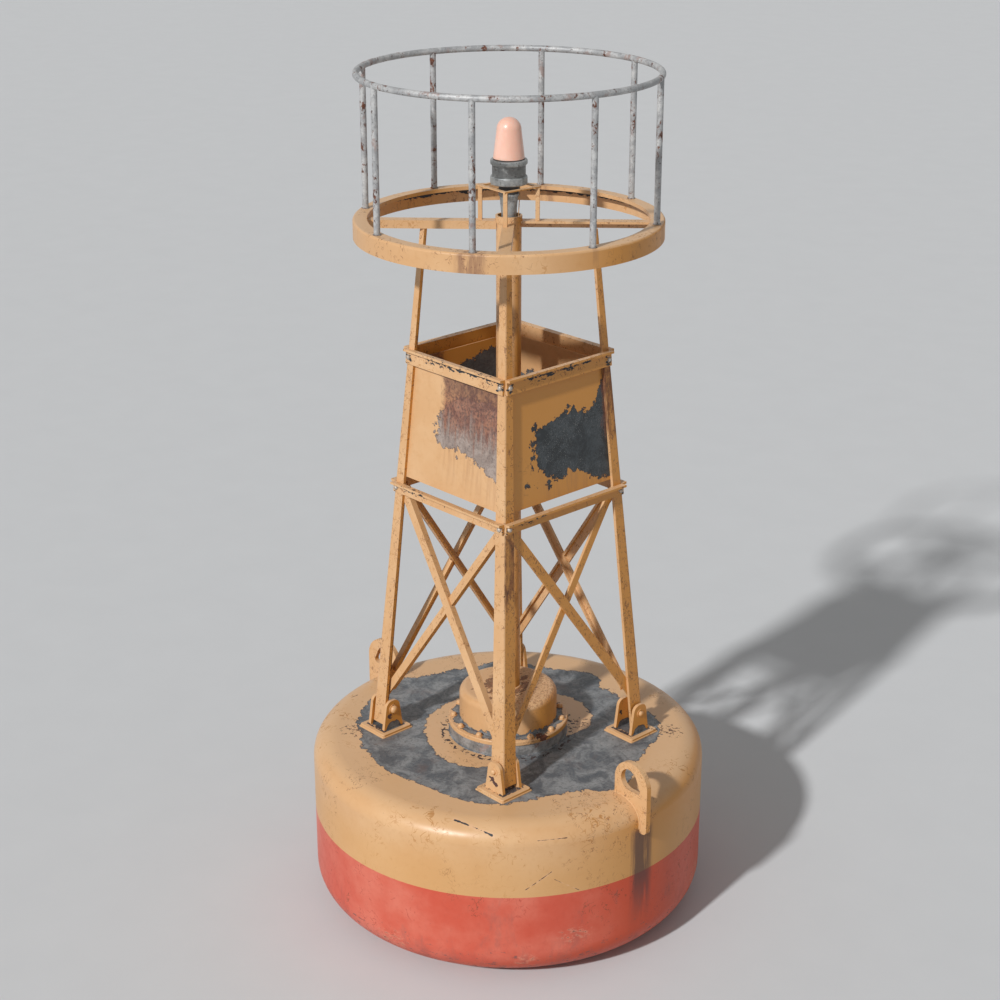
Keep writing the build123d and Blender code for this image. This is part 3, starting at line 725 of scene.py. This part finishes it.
# Paint lost from each foot: height of the arch in its ears, half the width of the worn strip
# across its plate, and chips on its ears as points and sizes, all before it is turned.
FOOT_WEAR = {
    "se": (0.0, 0.048, (
        (0.392, -0.4535, 0.862, 0.016), (0.408, -0.4535, 0.848, 0.015), (0.378, -0.4535, 0.866, 0.008),
        (0.405, -0.3500, 0.880, 0.020), (0.395, -0.3500, 0.850, 0.012),
    )),
    "ne": (0.034, 0.090, ((0.392, -0.3453, 0.868, 0.009),)),
    "nw": (0.030, 0.060, ((0.410, -0.4535, 0.880, 0.014),)),
    "sw": (0.036, 0.090, ((0.425, -0.3453, 0.872, 0.013), (0.415, -0.3453, 0.880, 0.008))),
}
# Rust covers the flange that looks east on the two eastern legs, between these heights.
LEG_RUST = {"se": (1.62, 1.985), "ne": (2.20, 2.640)}


def unturned(finish, point, turn):
    """The same point as if its corner or face were turned back to the first one."""
    return moved(finish, point, turn=(0, 0, radians(-turn)))


def foot_finish(corner, turn, arch_h, half_worn, chips):
    """Paint gone from the middle of the plate, in an arch at the bottom of the ears and in chips; the bare
    steel is dark, partly as painted shade.
    """

    def foot_wear(finish, point):
        own = unturned(finish, point, turn)
        x, y, z = axes(finish, own)
        off_x = gap(finish, x, FOOT_X)
        off_y = gap(finish, y, FOOT_Y)
        inside = less(finish, FOOT_HALF - 0.020, sum_up(finish, "MAXIMUM", off_x, off_y))
        plate = sum_up(finish, "MINIMUM", inside, less(finish, FOOT_TOP_Z + 0.002, z))
        plate = sum_up(finish, "MINIMUM", plate, less(finish, half_worn, off_y))
        square = both(finish, off_x, off_x)
        bow = both(finish, both(finish, square, square), -arch_h / ARCH_HALF ** 4)
        arch = less(finish, sum_up(finish, "ADD", bow, FOOT_TOP_Z + arch_h), z)
        worn = ragged(finish, point, sum_up(finish, "MAXIMUM", plate, arch), (32, 0.012), (90, 0.012))
        worn = sum_up(finish, "MINIMUM", worn, both(finish, inside, 3.0))
        # Dark steel tones here are partly painted shade under the leg and between the ears.
        layers = bare_layers(finish, worn, bare_steel(finish, point, 26.0, 0.75, DARK_STEEL_AND_SHADE), 1.0, 0.006)
        for *middle, size in chips:
            chip = less(finish, size, distance_to(finish, own, middle))
            chip = step_between(finish, ragged(finish, point, chip, (48, 0.045)), 0.0, 0.0015)
            layers.append((chip, EAR_CHIP_BROWN, 0.7, 0.8))
        return layers

    return yellow_paint("foot_paint_" + corner, foot_wear, 0.06, 0.12)


def grime(finish, point):
    """Brown specks of dirt and rust, on sides that the sun does not dry."""
    dots = clouds(finish, moved(finish, point, (3, 9, 2), (1, 1, 0.7)), 120.0, 3.0, 0.65)
    crowd = clouds(finish, moved(finish, point, (8, 2, 6)), 7.0, 3.0, 0.6)
    limit = swell(finish, step_between(finish, crowd, 0.34, 0.66), -0.12, 0.66)
    specks = step_between(finish, less(finish, dots, limit), 0.0, 0.03)
    shaded = step_between(finish, in_sun(finish), 0.42, 0.15)
    return [(both(finish, both(finish, specks, shaded), 0.72), GRIME_BROWN, 0.7, 0.3)]


def leg_finish(corner):
    """Leg paint with grime and, on the eastern legs, purple-brown rust that has run down."""

    def leg_wear(finish, point):
        layers = grime(finish, point)
        if corner in LEG_RUST:
            low_z, high_z = LEG_RUST[corner]
            x, y, z = axes(finish, point)
            run = clouds(finish, moved(finish, point, stretch=(1, 1, 0.25)), 34.0, 5.0, 0.7)
            height = swell(finish, less(finish, run, 0.5), 0.3, z)
            low = step_between(finish, height, low_z, low_z + 0.35 * (high_z - low_z))
            high = step_between(finish, height, high_z, high_z - 0.03)
            rusty = both(finish, both(finish, low, high), step_between(finish, run, 0.28, 0.60))
            east = less(finish, x, sum_up(finish, "ABSOLUTE", y))
            rusty = both(finish, rusty, step_between(finish, east, 0.0, 0.004))
            layers.append((both(finish, rusty, 0.88), rust_bloom(finish, point, 36.0), 0.7, 0.3))
        return layers

    return yellow_paint("leg_paint_" + corner, leg_wear, 0.03, 0.26)


def weld_rod(start, end, bead):
    """Straight run of weld: a thin rod cut into ribs, every second one drawn in."""
    start, end = Vector(start), Vector(end)
    span = end - start
    ripples = max(2, round(span.length / RIB_PITCH))
    bpy.ops.mesh.primitive_cylinder_add(vertices=8, radius=bead, depth=span.length, end_fill_type="TRIFAN")
    rod = bpy.context.object
    bpy.ops.object.mode_set(mode="EDIT")
    mesh = bmesh.from_edit_mesh(rod.data)
    for edge in mesh.edges:
        edge.select = abs(edge.verts[0].co.z - edge.verts[1].co.z) > span.length / 2
    bmesh.update_edit_mesh(rod.data)
    bpy.ops.mesh.subdivide(number_cuts=2 * ripples - 1)
    rib = span.length / (2 * ripples)
    pick(rod, lambda co: round((co.z + span.length / 2) / rib) % 2 == 0)
    bpy.ops.transform.resize(value=(0.80, 0.80, 1.0), center_override=(0, 0, 0))
    bpy.ops.object.mode_set(mode="OBJECT")
    turn = span.to_track_quat("Z", "Y").to_matrix().to_4x4()
    rod.matrix_world = Matrix.Translation((start + end) / 2) @ turn
    return rod


def weld_along(points, bead):
    """One weld through several points, of straight runs joined end to end."""
    rods = [weld_rod(start, end, bead) for start, end in zip(points, points[1:])]
    bpy.ops.object.select_all(action="DESELECT")
    for rod in rods:
        rod.select_set(True)
    bpy.context.view_layer.objects.active = rods[0]
    bpy.ops.object.join()
    bpy.ops.object.transform_apply(location=True, rotation=True, scale=True)
    return rods[0]


plate_corners = [(FOOT_HALF * x, FOOT_HALF * y, 0) for x, y in ((-1, -1), (1, -1), (1, 1), (-1, 1), (-1, -1))]
foot_weld = weld_along(plate_corners, FOOT_BEAD)
outward = Matrix.Rotation(radians(90), 4, "X")
inward = Matrix.Rotation(radians(-90), 4, "X")
outer_bolts = []
inner_nuts = []
foot_welds = []
for corner, turn in CORNERS:
    round_mast = Matrix.Rotation(radians(turn), 4, "Z")
    outer_bolts.append(round_mast @ Matrix.Translation((FOOT_X, OUTER_EAR_Y, FOOT_BOLT_Z)) @ outward)
    inner_nuts.append(round_mast @ Matrix.Translation((FOOT_X, INNER_EAR_Y, FOOT_BOLT_Z)) @ inward)
    foot_welds.append(round_mast @ Matrix.Translation((FOOT_X, FOOT_Y, DECK_Z + BEAD_PROUD)))
    dress("foot_" + corner, foot_finish(corner, turn, *FOOT_WEAR[corner]))
    dress("leg_" + corner, leg_finish(corner))
bolt_names = ["foot_bolt_" + corner for corner, turn in CORNERS]
nut_names = ["foot_nut_" + corner for corner, turn in CORNERS]
weld_names = ["weld_foot_" + corner for corner, turn in CORNERS]
set_copies(round_bolt(*FOOT_BOLT), bolt_names, outer_bolts, bolt_paint)
set_copies(round_bolt(*FOOT_NUT), nut_names, inner_nuts, bolt_paint)
set_copies(foot_weld, weld_names, foot_welds, weld_paint)

# Braces, rails and panels --------------------------------------------------------
# Crossed angle braces behind the legs, angle rails bolted across their outside with the
# lip outward, and thin daymark plates behind the legs whose paint has come off in sheets.
FACES = (("s", 0), ("e", 90), ("n", 180), ("w", 270))
RAIL_THICK = 0.010
RAIL_BOLT = (0.0105, 0.003, 0.007, 0.0135, 0.002)
BOLT_STEEL = ((0.42, 0.36, 0.30), (0.62, 0.56, 0.50), (0.07, 0.05, 0.045))
STAIN_BROWN = (0.33, 0.130, 0.066)
STAIN_DEEP = (0.19, 0.074, 0.050)
STAIN_SPECK = (0.080, 0.038, 0.032)
STAIN_HEAD = (0.100, 0.045, 0.037)
# Outer face of each row of rails, height of the chips below its lip, and its two bolts: metres
# to either side of the middle, and metres up.
RAILS = {
    "upper": (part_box("rail_upper_s")[1].y - RAIL_THICK, 2.612, 0.290, 2.595),
    "lower": (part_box("rail_lower_s")[1].y - RAIL_THICK, 2.003, 0.335, 1.993),
}
# Left and right end of the row of chips on each rail, metres right of the middle.
RAIL_CHIPS = {
    "upper": {"s": (-0.20, 0.27), "e": (-0.23, 0.20), "n": (-0.12, 0.25), "w": (-0.28, 0.05)},
    "lower": {face: (-0.30, -0.12) for face, turn in FACES},
}
# Each patch of bare steel is seen from outside its face: its left end, then its lower and its
# upper edge as (metres right of the middle, metres above the floor).
PANEL_PATCHES = {
    "s": (
        -0.106,
        ((-0.13, 2.262), (-0.108, 2.250), (-0.06, 2.243), (-0.007, 2.256), (0.038, 2.255), (0.083, 2.243),
         (0.128, 2.232), (0.162, 2.218), (0.196, 2.204), (0.241, 2.186), (0.274, 2.172), (0.32, 2.155)),
        ((-0.13, 2.375), (-0.085, 2.398), (-0.05, 2.430), (0.0, 2.475), (0.10, 2.500), (0.32, 2.500)),
    ),
    "e": (
        -0.138,
        ((-0.20, 2.205), (-0.136, 2.198), (-0.085, 2.160), (-0.037, 2.135), (0.002, 2.121), (0.028, 2.134),
         (0.052, 2.152), (0.080, 2.146), (0.110, 2.132), (0.153, 2.106), (0.203, 2.082), (0.32, 2.060)),
        ((-0.20, 2.400), (-0.140, 2.395), (-0.091, 2.382), (-0.042, 2.392), (-0.006, 2.405), (0.030, 2.424),
         (0.060, 2.414), (0.089, 2.424), (0.118, 2.406), (0.149, 2.402), (0.172, 2.394), (0.200, 2.412),
         (0.232, 2.440), (0.255, 2.495), (0.32, 2.530)),
    ),
    "n": (
        0.10,
        ((0.05, 2.30), (0.16, 2.20), (0.24, 2.23), (0.32, 2.18)),
        ((0.05, 2.36), (0.17, 2.425), (0.24, 2.400), (0.32, 2.440)),
    ),
    "w": (
        -0.40,
        ((-0.36, 2.28), (-0.20, 2.22), (-0.10, 2.30), (-0.02, 2.40), (0.04, 2.50)),
        ((-0.36, 2.535), (-0.14, 2.540), (-0.07, 2.515), (0.0, 2.505), (0.04, 2.490)),
    ),
}
# Tones of the bare patches: the south plate is a paler brownish grey; the east plate, turned from the key
# lamp, is painted near black as shade.
PANEL_STEEL_AND_SHADE = {
    "s": ((0.26, 0.200, 0.170), (0.38, 0.305, 0.265), (0.080, 0.060, 0.056)),
    "e": ((0.022, 0.026, 0.029), (0.060, 0.070, 0.077), (0.006, 0.007, 0.008)),
    "n": STEEL,
    "w": ((0.060, 0.062, 0.066), (0.120, 0.122, 0.128), (0.014, 0.015, 0.018)),
}
# Rust stain over the paint: left and right edge, height where it starts to fade, height of its top.
PANEL_STAINS = {
    "s": (-0.085, 0.40, 2.330, 2.70),
    "e": (0.262, 0.40, 2.300, 2.70),
    "n": (0.16, 0.28, 2.000, 2.20),
    "w": (0.12, 0.40, 2.250, 2.70),
}
# Lone chips beside the patches: metres right of the middle, metres up, size.
PANEL_CHIPS = {
    "s": ((-0.122, 2.335, 0.008), (-0.124, 2.300, 0.009), (0.02, 2.222, 0.007)),
    "e": ((-0.148, 2.386, 0.015), (-0.158, 2.318, 0.012), (-0.154, 2.288, 0.011), (-0.160, 2.250, 0.013),
          (-0.161, 2.213, 0.010), (-0.198, 2.145, 0.011), (-0.075, 2.130, 0.012), (-0.070, 2.109, 0.008),
          (-0.146, 2.132, 0.005), (0.060, 2.436, 0.010)),
    "n": ((0.04, 2.26, 0.014), (-0.12, 2.16, 0.010)),
    "w": ((0.10, 2.44, 0.012), (0.02, 2.24, 0.009)),
}


def panel_stain(finish, face, across, z, streaks, spots, dirt):
    """Brown stain over the paint: soft sides, a dark head, and a foot that breaks into specks."""
    left, right, fade_z, top_z = PANEL_STAINS[face]
    soft = swell(finish, less(finish, spots, 0.5), 0.09, across)
    left_side = step_between(finish, soft, left - 0.014, left + 0.020)
    sides = both(finish, left_side, step_between(finish, soft, right + 0.020, right - 0.014))
    falling = swell(finish, less(finish, streaks, 0.5), 0.36, z)
    fade = step_between(finish, falling, fade_z - 0.100, fade_z + 0.100)
    fade = both(finish, fade, step_between(finish, z, top_z, top_z - 0.05))
    blotch = step_between(finish, swell(finish, dirt, 0.5, spots), 0.58, 0.92)
    specked = step_between(finish, swell(finish, fade, 0.55, dirt), 0.60, 0.80)
    stain = both(finish, sides, both(finish, fade, specked))
    stain = both(finish, stain, swell(finish, blotch, 0.22, 0.76))
    tone = tint(finish, step_between(finish, spots, 0.40, 0.60), STAIN_BROWN, STAIN_DEEP)
    tone = tint(finish, both(finish, step_between(finish, dirt, 0.46, 0.60), 0.85), tone, STAIN_SPECK)
    head = step_between(finish, swell(finish, spots, 0.12, z), 2.50, 2.60)
    return stain, tint(finish, both(finish, head, 0.7), tone, STAIN_HEAD), 0.65, 0.1


def panel_finish(face, turn):
    """Daymark paint with sheets of it flaked away to bare steel and rust bleeding over it."""
    left_end, lower, upper = PANEL_PATCHES[face]

    def panel_wear(finish, point):
        across, _, z = axes(finish, unturned(finish, point, turn))
        rise = less(finish, z, read_off(finish, across, lower))
        drop = less(finish, read_off(finish, across, upper), z)
        start = less(finish, across, left_end)
        inside = sum_up(finish, "MINIMUM", sum_up(finish, "MINIMUM", rise, drop), start)
        shifted = moved(finish, point, (turn, 0, 3))
        edge = ragged(finish, shifted, inside, (12, 0.03), (38, 0.085), (95, 0.030))
        for right, up, size in PANEL_CHIPS[face]:
            away = slant(finish, less(finish, across, right), less(finish, z, up))
            chip = ragged(finish, point, less(finish, size, away), (55, 0.075))
            edge = sum_up(finish, "MAXIMUM", edge, chip)
        streaks = clouds(finish, moved(finish, point, (0, 0, 5), (60, 60, 2.2)), 1.0, 3.0, 0.6)
        spots = clouds(finish, moved(finish, point, (turn, turn, 2), (1, 1, 0.75)), 24.0, 6.0, 0.72, 0.3)
        dirt = clouds(finish, moved(finish, point, (6, turn, 4), (1, 1, 0.8)), 95.0, 4.0, 0.7)
        below = step_between(finish, rise, -0.22, -0.03)
        below = both(finish, below, step_between(finish, rise, 0.02, -0.01))
        below = both(finish, below, step_between(finish, start, 0.0, 0.05))
        run = both(finish, both(finish, below, step_between(finish, streaks, 0.42, 0.66)), 0.30)
        layers = [(run, RUST_WASH, 0.55, 0.0)]
        # On the east plate the bare steel's near-black tones are painted shade.
        layers += bare_layers(finish, edge, bare_steel(finish, point, 12.0, 0.6, PANEL_STEEL_AND_SHADE[face]))
        layers.append(panel_stain(finish, face, across, z, streaks, spots, dirt))
        return layers

    return yellow_paint("panel_paint_" + face, panel_wear, 0.0, 0.02)


def rail_finish(level, face, turn):
    """Rail paint with a row of dark chips under the lip and more round the two bolts."""
    rail_face, chip_z, bolt_reach, bolt_z = RAILS[level]
    left, right = RAIL_CHIPS[level][face]

    def rail_wear(finish, point):
        across, inward, z = axes(finish, unturned(finish, point, turn))
        outside = step_between(finish, inward, rail_face + 0.004, rail_face + 0.002)
        lumps = clouds(finish, moved(finish, point, (turn, 2, 0), (1, 1, 2.6)), 30.0, 3.0, 0.65)
        left_side = step_between(finish, across, left, left + 0.03)
        ends = both(finish, left_side, step_between(finish, across, right, right - 0.03))
        row = both(finish, ends, step_between(finish, gap(finish, z, chip_z), 0.030, 0.0))
        off_bolt = less(finish, sum_up(finish, "ABSOLUTE", across), bolt_reach)
        away = slant(finish, off_bolt, less(finish, z, bolt_z))
        round_head = both(finish, step_between(finish, away, 0.034, 0.012), 0.85)
        near = sum_up(finish, "MAXIMUM", row, round_head)
        chips = chipped(finish, near, lumps, 0.18, 0.675, 0.685, full=0.20)
        return [(both(finish, chips, outside), STEEL_DARK, 0.7, 0.9)]

    return yellow_paint(level + "_rail_paint_" + face, rail_wear, 0.03, 0.22)


brace_paint = yellow_paint("brace_paint", grime, 0.04, 0.22)
for face, turn in FACES:
    dress("brace_outer_" + face, brace_paint)
    dress("brace_inner_" + face, brace_paint)
    dress("rail_upper_" + face, rail_finish("upper", face, turn))
    dress("rail_lower_" + face, rail_finish("lower", face, turn))
    dress("panel_" + face, panel_finish(face, turn))

# A bolt at each end of a rail goes through it and the leg; most heads have lost their paint.
rail_bolt_metal = steel_finish("rail_bolt_metal", BOLT_STEEL, 0.3, 0.45, 0.06)
for level, (rail_face, chip_z, reach, bolt_z) in RAILS.items():
    names = []
    places = []
    for face, turn in FACES:
        for end, side in (("left", -1), ("right", 1)):
            names.append("rail_bolt_%s_%s_%s" % (level, face, end))
            place = Matrix.Translation((side * reach, rail_face, bolt_z)) @ outward
            places.append(Matrix.Rotation(radians(turn), 4, "Z") @ place)
    set_copies(round_bolt(*RAIL_BOLT), names, places, rail_bolt_metal)

# Platform ------------------------------------------------------------------------
# A rolled angle ring with its flange on top, carried by four angle beams from the mast. Paint
# has chipped off the inner side of its web, which is also painted dark under the flange as its shade, and
# rust has run down from the posts' feet.
RING_R = 0.655
RING_TOP_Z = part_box("platform_ring")[1].z
RUN_BROWN = (0.24, 0.115, 0.065)
# Brown runs down the ring's web: heading in degrees, half width in degrees, strength.
RING_RUNS = ((-56.5, 6.5, 0.70), (-11.5, 1.6, 0.30), (33.0, 3.0, 0.5), (122.0, 4.0, 0.6))


def ring_wear(finish, point):
    """Chips to the steel on the inner side of the web, there also painted dark as the flange's shade, and
    brown runs below the posts.
    """
    reach, x, y, z = from_axis(finish, point)
    heading = heading_of(finish, x, y)
    inner_side = step_between(finish, reach, RING_R - 0.009, RING_R - 0.011)
    inner_side = both(finish, inner_side, step_between(finish, reach, RING_R - 0.015, RING_R - 0.013))
    inner_side = both(finish, inner_side, step_between(finish, z, RING_TOP_Z - 0.010, RING_TOP_Z - 0.014))
    under = both(finish, inner_side, step_between(finish, z, RING_TOP_Z - 0.050, RING_TOP_Z - 0.020))
    lumps = clouds(finish, moved(finish, point, (1, 4, 2), (1, 1, 2.0)), 17.0, 4.0, 0.7)
    # Dark band under the flange: chipped paint and painted shade of the flange.
    layers = [(chipped(finish, under, lumps, 0.26, 0.62, 0.64, 0.02, 0.10), STEEL_DARK, 0.7, 0.8)]
    runs = clouds(finish, moved(finish, point, (2, 0, 1), (1, 1, 0.18)), 34.0, 4.0, 0.65)
    for middle, wide, strength in RING_RUNS:
        off = gap(finish, heading, middle)
        near = both(finish, step_between(finish, off, wide, wide * 0.55), strength)
        run = both(finish, near, step_between(finish, runs, 0.36, 0.62))
        layers.append((run, RUN_BROWN, 0.65, 0.1))
    return layers


dress("platform_ring", yellow_paint("ring_paint", ring_wear, 0.0, 0.17))
for corner, turn in CORNERS:
    dress("beam_" + corner, brace_paint)

# Handrail ------------------------------------------------------------------------
# Galvanised steel pipe: eight posts welded to the ring and one bent hoop on top.
# The zinc has dulled, and rust shows through it, most of all at the welds.
POSTS = 8
POST_R = 0.01345
POST_BEAD = 0.0035
POST_RIPPLES = 12
ZINC = ((0.34, 0.345, 0.35), (0.52, 0.52, 0.515), (0.15, 0.14, 0.14))
POST_WELD_STEEL = ((0.20, 0.17, 0.15), (0.36, 0.34, 0.32), (0.05, 0.04, 0.04))

galvanised = steel_finish("galvanised_steel", ZINC, 0.20, 0.5, 0.245)
post_weld = steel_finish("post_weld_steel", POST_WELD_STEEL, 0.2, 0.6, 0.30)
dress("handrail_ring", galvanised)
for number in range(1, POSTS + 1):
    post = "handrail_post_%d" % number
    dress(post, galvanised)
    low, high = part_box(post)
    foot = ((low.x + high.x) / 2, (low.y + high.y) / 2, RING_TOP_Z + BEAD_PROUD)
    radius = POST_R + BEAD_PROUD
    weld_ring("weld_post_%d" % number, foot, radius, POST_BEAD, POST_RIPPLES, post_weld)

# Lantern -------------------------------------------------------------------------
# A cast socket in the mast's open top, a beaded drum, a rubber ring and a milky lens, inside
# a square flat-bar stand.
DRUM_TOP_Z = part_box("lantern_body")[1].z
NECK_TOP_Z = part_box("lantern_body")[0].z
CASTING = ((0.26, 0.27, 0.27), (0.40, 0.41, 0.40), (0.05, 0.05, 0.05))
CASTING_DIRT = (0.030, 0.027, 0.025)
RUBBER = ((0.02, 0.016, 0.015), (0.03, 0.025, 0.025), (0.01, 0.01, 0.01))
MILKY = (0.85, 0.49, 0.37)
MILKY_PALE = (0.87, 0.55, 0.44)
MILKY_DUST = (0.70, 0.38, 0.27)
LIGHT_REACH = (0.02, 0.01, 0.007)     # how far red, green and blue light soak in


def casting_finish(name, dark_low, dark_high, strength):
    """Weathered casting, black with dirt where water stays between two heights."""
    finish = steel_finish(name, CASTING, 0.35, 0.45, 0.12)
    point = place_on(finish)
    colour = finish.node_tree.nodes["Principled BSDF"].inputs["Base Color"]
    clean = colour.links[0].from_socket
    z = axes(finish, point)[2]
    lumps = clouds(finish, moved(finish, point, (3, 0, 0), (1, 1, 0.7)), 32.0, 4.0, 0.7)
    above = step_between(finish, z, dark_low - 0.002, dark_low + 0.004)
    between = both(finish, above, step_between(finish, z, dark_high + 0.002, dark_high - 0.004))
    dirt = step_between(finish, swell(finish, between, 0.26, lumps), 0.56, 0.70)
    dirty = tint(finish, both(finish, dirt, strength), clean, CASTING_DIRT)
    finish.node_tree.links.new(dirty, colour)
    return finish


def lens_finish():
    """Milky pink lens with faint moulding streaks, dust and a soft shine."""
    finish = new_finish("milky_lens")
    point = place_on(finish)
    broad = clouds(finish, moved(finish, point, stretch=(1, 1, 0.35)), 22.0, 3.0, 0.5)
    dust = clouds(finish, point, 160.0, 3.0, 0.6)
    skin = tint(finish, step_between(finish, broad, 0.35, 0.70), MILKY, MILKY_PALE)
    skin = tint(finish, both(finish, step_between(finish, dust, 0.60, 0.75), 0.35), skin, MILKY_DUST)
    surface = lay_on(finish, skin, swell(finish, dust, 0.20, 0.22), dust, 0.10, 0.0005)
    surface["Subsurface Weight"].default_value = 0.25
    surface["Subsurface Radius"].default_value = LIGHT_REACH
    return finish


dress("lantern_stand", brace_paint)
dress("lantern_socket", casting_finish("socket_metal", NECK_TOP_Z - 0.040, NECK_TOP_Z, 0.95))
dress("lantern_body", casting_finish("drum_metal", DRUM_TOP_Z - 0.070, DRUM_TOP_Z - 0.022, 0.55))
dress("lantern_gasket", steel_finish("gasket_rubber", RUBBER))
dress("lantern_lens", lens_finish())

# A narrow folded strip guards the lamp's wires from inside the mast's rim up to the drum.
STRIP_WIDTH = 0.008
STRIP_THICK = 0.004
STRIP_EDGE_R = 0.0008
STRIP_HEADING = 47.0
STRIP_FOOT_R = 0.0395
STRIP_HEAD_R = 0.0450
STRIP_FOLD_Z = NECK_TOP_Z - 0.040
STRIP_FOOT_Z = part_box("mast_tube")[1].z - 0.030

bpy.ops.mesh.primitive_cube_add(size=1)
strip = bpy.context.object
strip.scale = (STRIP_THICK, STRIP_WIDTH, NECK_TOP_Z - STRIP_FOOT_Z)
strip.location = (STRIP_FOOT_R, 0, (NECK_TOP_Z + STRIP_FOOT_Z) / 2)
bpy.ops.object.transform_apply(location=True, rotation=True, scale=True)
bpy.ops.object.mode_set(mode="EDIT")
bpy.ops.mesh.bisect(plane_co=(0, 0, STRIP_FOLD_Z), plane_no=(0, 0, 1))
pick(strip, lambda co: co.z > STRIP_FOLD_Z - 0.010)
bpy.ops.transform.translate(value=(STRIP_HEAD_R - STRIP_FOOT_R, 0, 0))
bpy.ops.mesh.select_all(action="SELECT")
bpy.ops.mesh.bevel(offset=STRIP_EDGE_R, segments=2)
bpy.ops.object.mode_set(mode="OBJECT")
strip.matrix_world = Matrix.Rotation(radians(STRIP_HEADING), 4, "Z")
finish_piece(strip, "lantern_wire_strip", brace_paint)

# Lifting lugs --------------------------------------------------------------------
# Thick flame-cut plates, standing in line with the mast over the float's shoulder and welded
# to it along both faces.
LUG_HALF_THICK = 0.012
LUG_TURN = -3.0
LUG_BEAD = 0.005
LUG_WELD_IN = 0.160
LUG_WELD_DROP = 0.118
SHOULDER_STEPS = (0.0, 0.35, 0.60, 0.80, 0.94, 1.0)

lug_line = [Vector((FLOAT_R - LUG_WELD_IN, 0, DECK_Z))]
for over in SHOULDER_STEPS:
    shoulder_x = FLOAT_R - SHOULDER_REACH + SHOULDER_REACH * over
    lug_line.append(Vector((shoulder_x, 0, DECK_Z - SHOULDER_DROP * (1 - sqrt(1 - over * over)))))
lug_line.append(Vector((FLOAT_R, 0, DECK_Z - LUG_WELD_DROP)))
for side, heading in (("e", LUG_TURN), ("w", 180 - LUG_TURN)):
    dress("lifting_lug_" + side, tower_paint)
    place = Matrix.Rotation(radians(heading), 4, "Z")
    for flank, name in ((1, "left"), (-1, "right")):
        beside = Vector((0, flank * (LUG_HALF_THICK + BEAD_PROUD), 0))
        bead = weld_along([place @ (point + beside) for point in lug_line], LUG_BEAD)
        finish_piece(bead, "weld_lug_%s_%s" % (side, name), weld_paint)

# Floor and lamps -----------------------------------------------------------------
# A wide pale floor, one key lamp like a low sun from the front left, and an even pale sky
# that the camera, metal and glass see in a plain grey.
FLOOR_HALF = 90.0
SCREED = (0.62, 0.63, 0.64)
SCREED_PALE = (0.66, 0.67, 0.68)
KEY_STRENGTH = 2.9
KEY_ANGLE = 3.0
KEY_HEIGHT = 34.0
KEY_HEADING = 10.0
SKY_STRENGTH = 0.29
SEEN_GREY = (0.60, 0.62, 0.63)

bpy.ops.mesh.primitive_plane_add(size=2 * FLOOR_HALF)
floor = bpy.context.object
floor.name = "floor"
screed = new_finish("floor_screed")
grain = clouds(screed, place_on(screed), 3.0, 6.0, 0.6)
floor_surface = screed.node_tree.nodes["Principled BSDF"].inputs
screed.node_tree.links.new(tint(screed, grain, SCREED, SCREED_PALE), floor_surface["Base Color"])
floor_surface["Roughness"].default_value = 0.9
floor.data.materials.append(screed)

bpy.ops.object.light_add(type="SUN", rotation=(radians(90 - KEY_HEIGHT), 0, radians(KEY_HEADING)))
key = bpy.context.object
key.name = "key_lamp"
key.data.energy = KEY_STRENGTH
key.data.angle = radians(KEY_ANGLE)

sky = bpy.data.worlds.new("sky")
sky.use_nodes = True
bpy.context.scene.world = sky
glow = sky.node_tree.nodes["Background"]
glow.inputs["Color"].default_value = (1, 1, 1, 1)
glow.inputs["Strength"].default_value = SKY_STRENGTH
seen = put(sky, "Background", {"Color": SEEN_GREY})
ray = put(sky, "LightPath").outputs
direct = sum_up(sky, "MAXIMUM", ray["Is Glossy Ray"], ray["Is Transmission Ray"])
direct = sum_up(sky, "MAXIMUM", ray["Is Camera Ray"], direct)
chooser = put(sky, "MixShader", {0: direct, 1: glow.outputs[0], 2: seen.outputs[0]})
sky.node_tree.links.new(chooser.outputs[0], sky.node_tree.nodes["World Output"].inputs["Surface"])
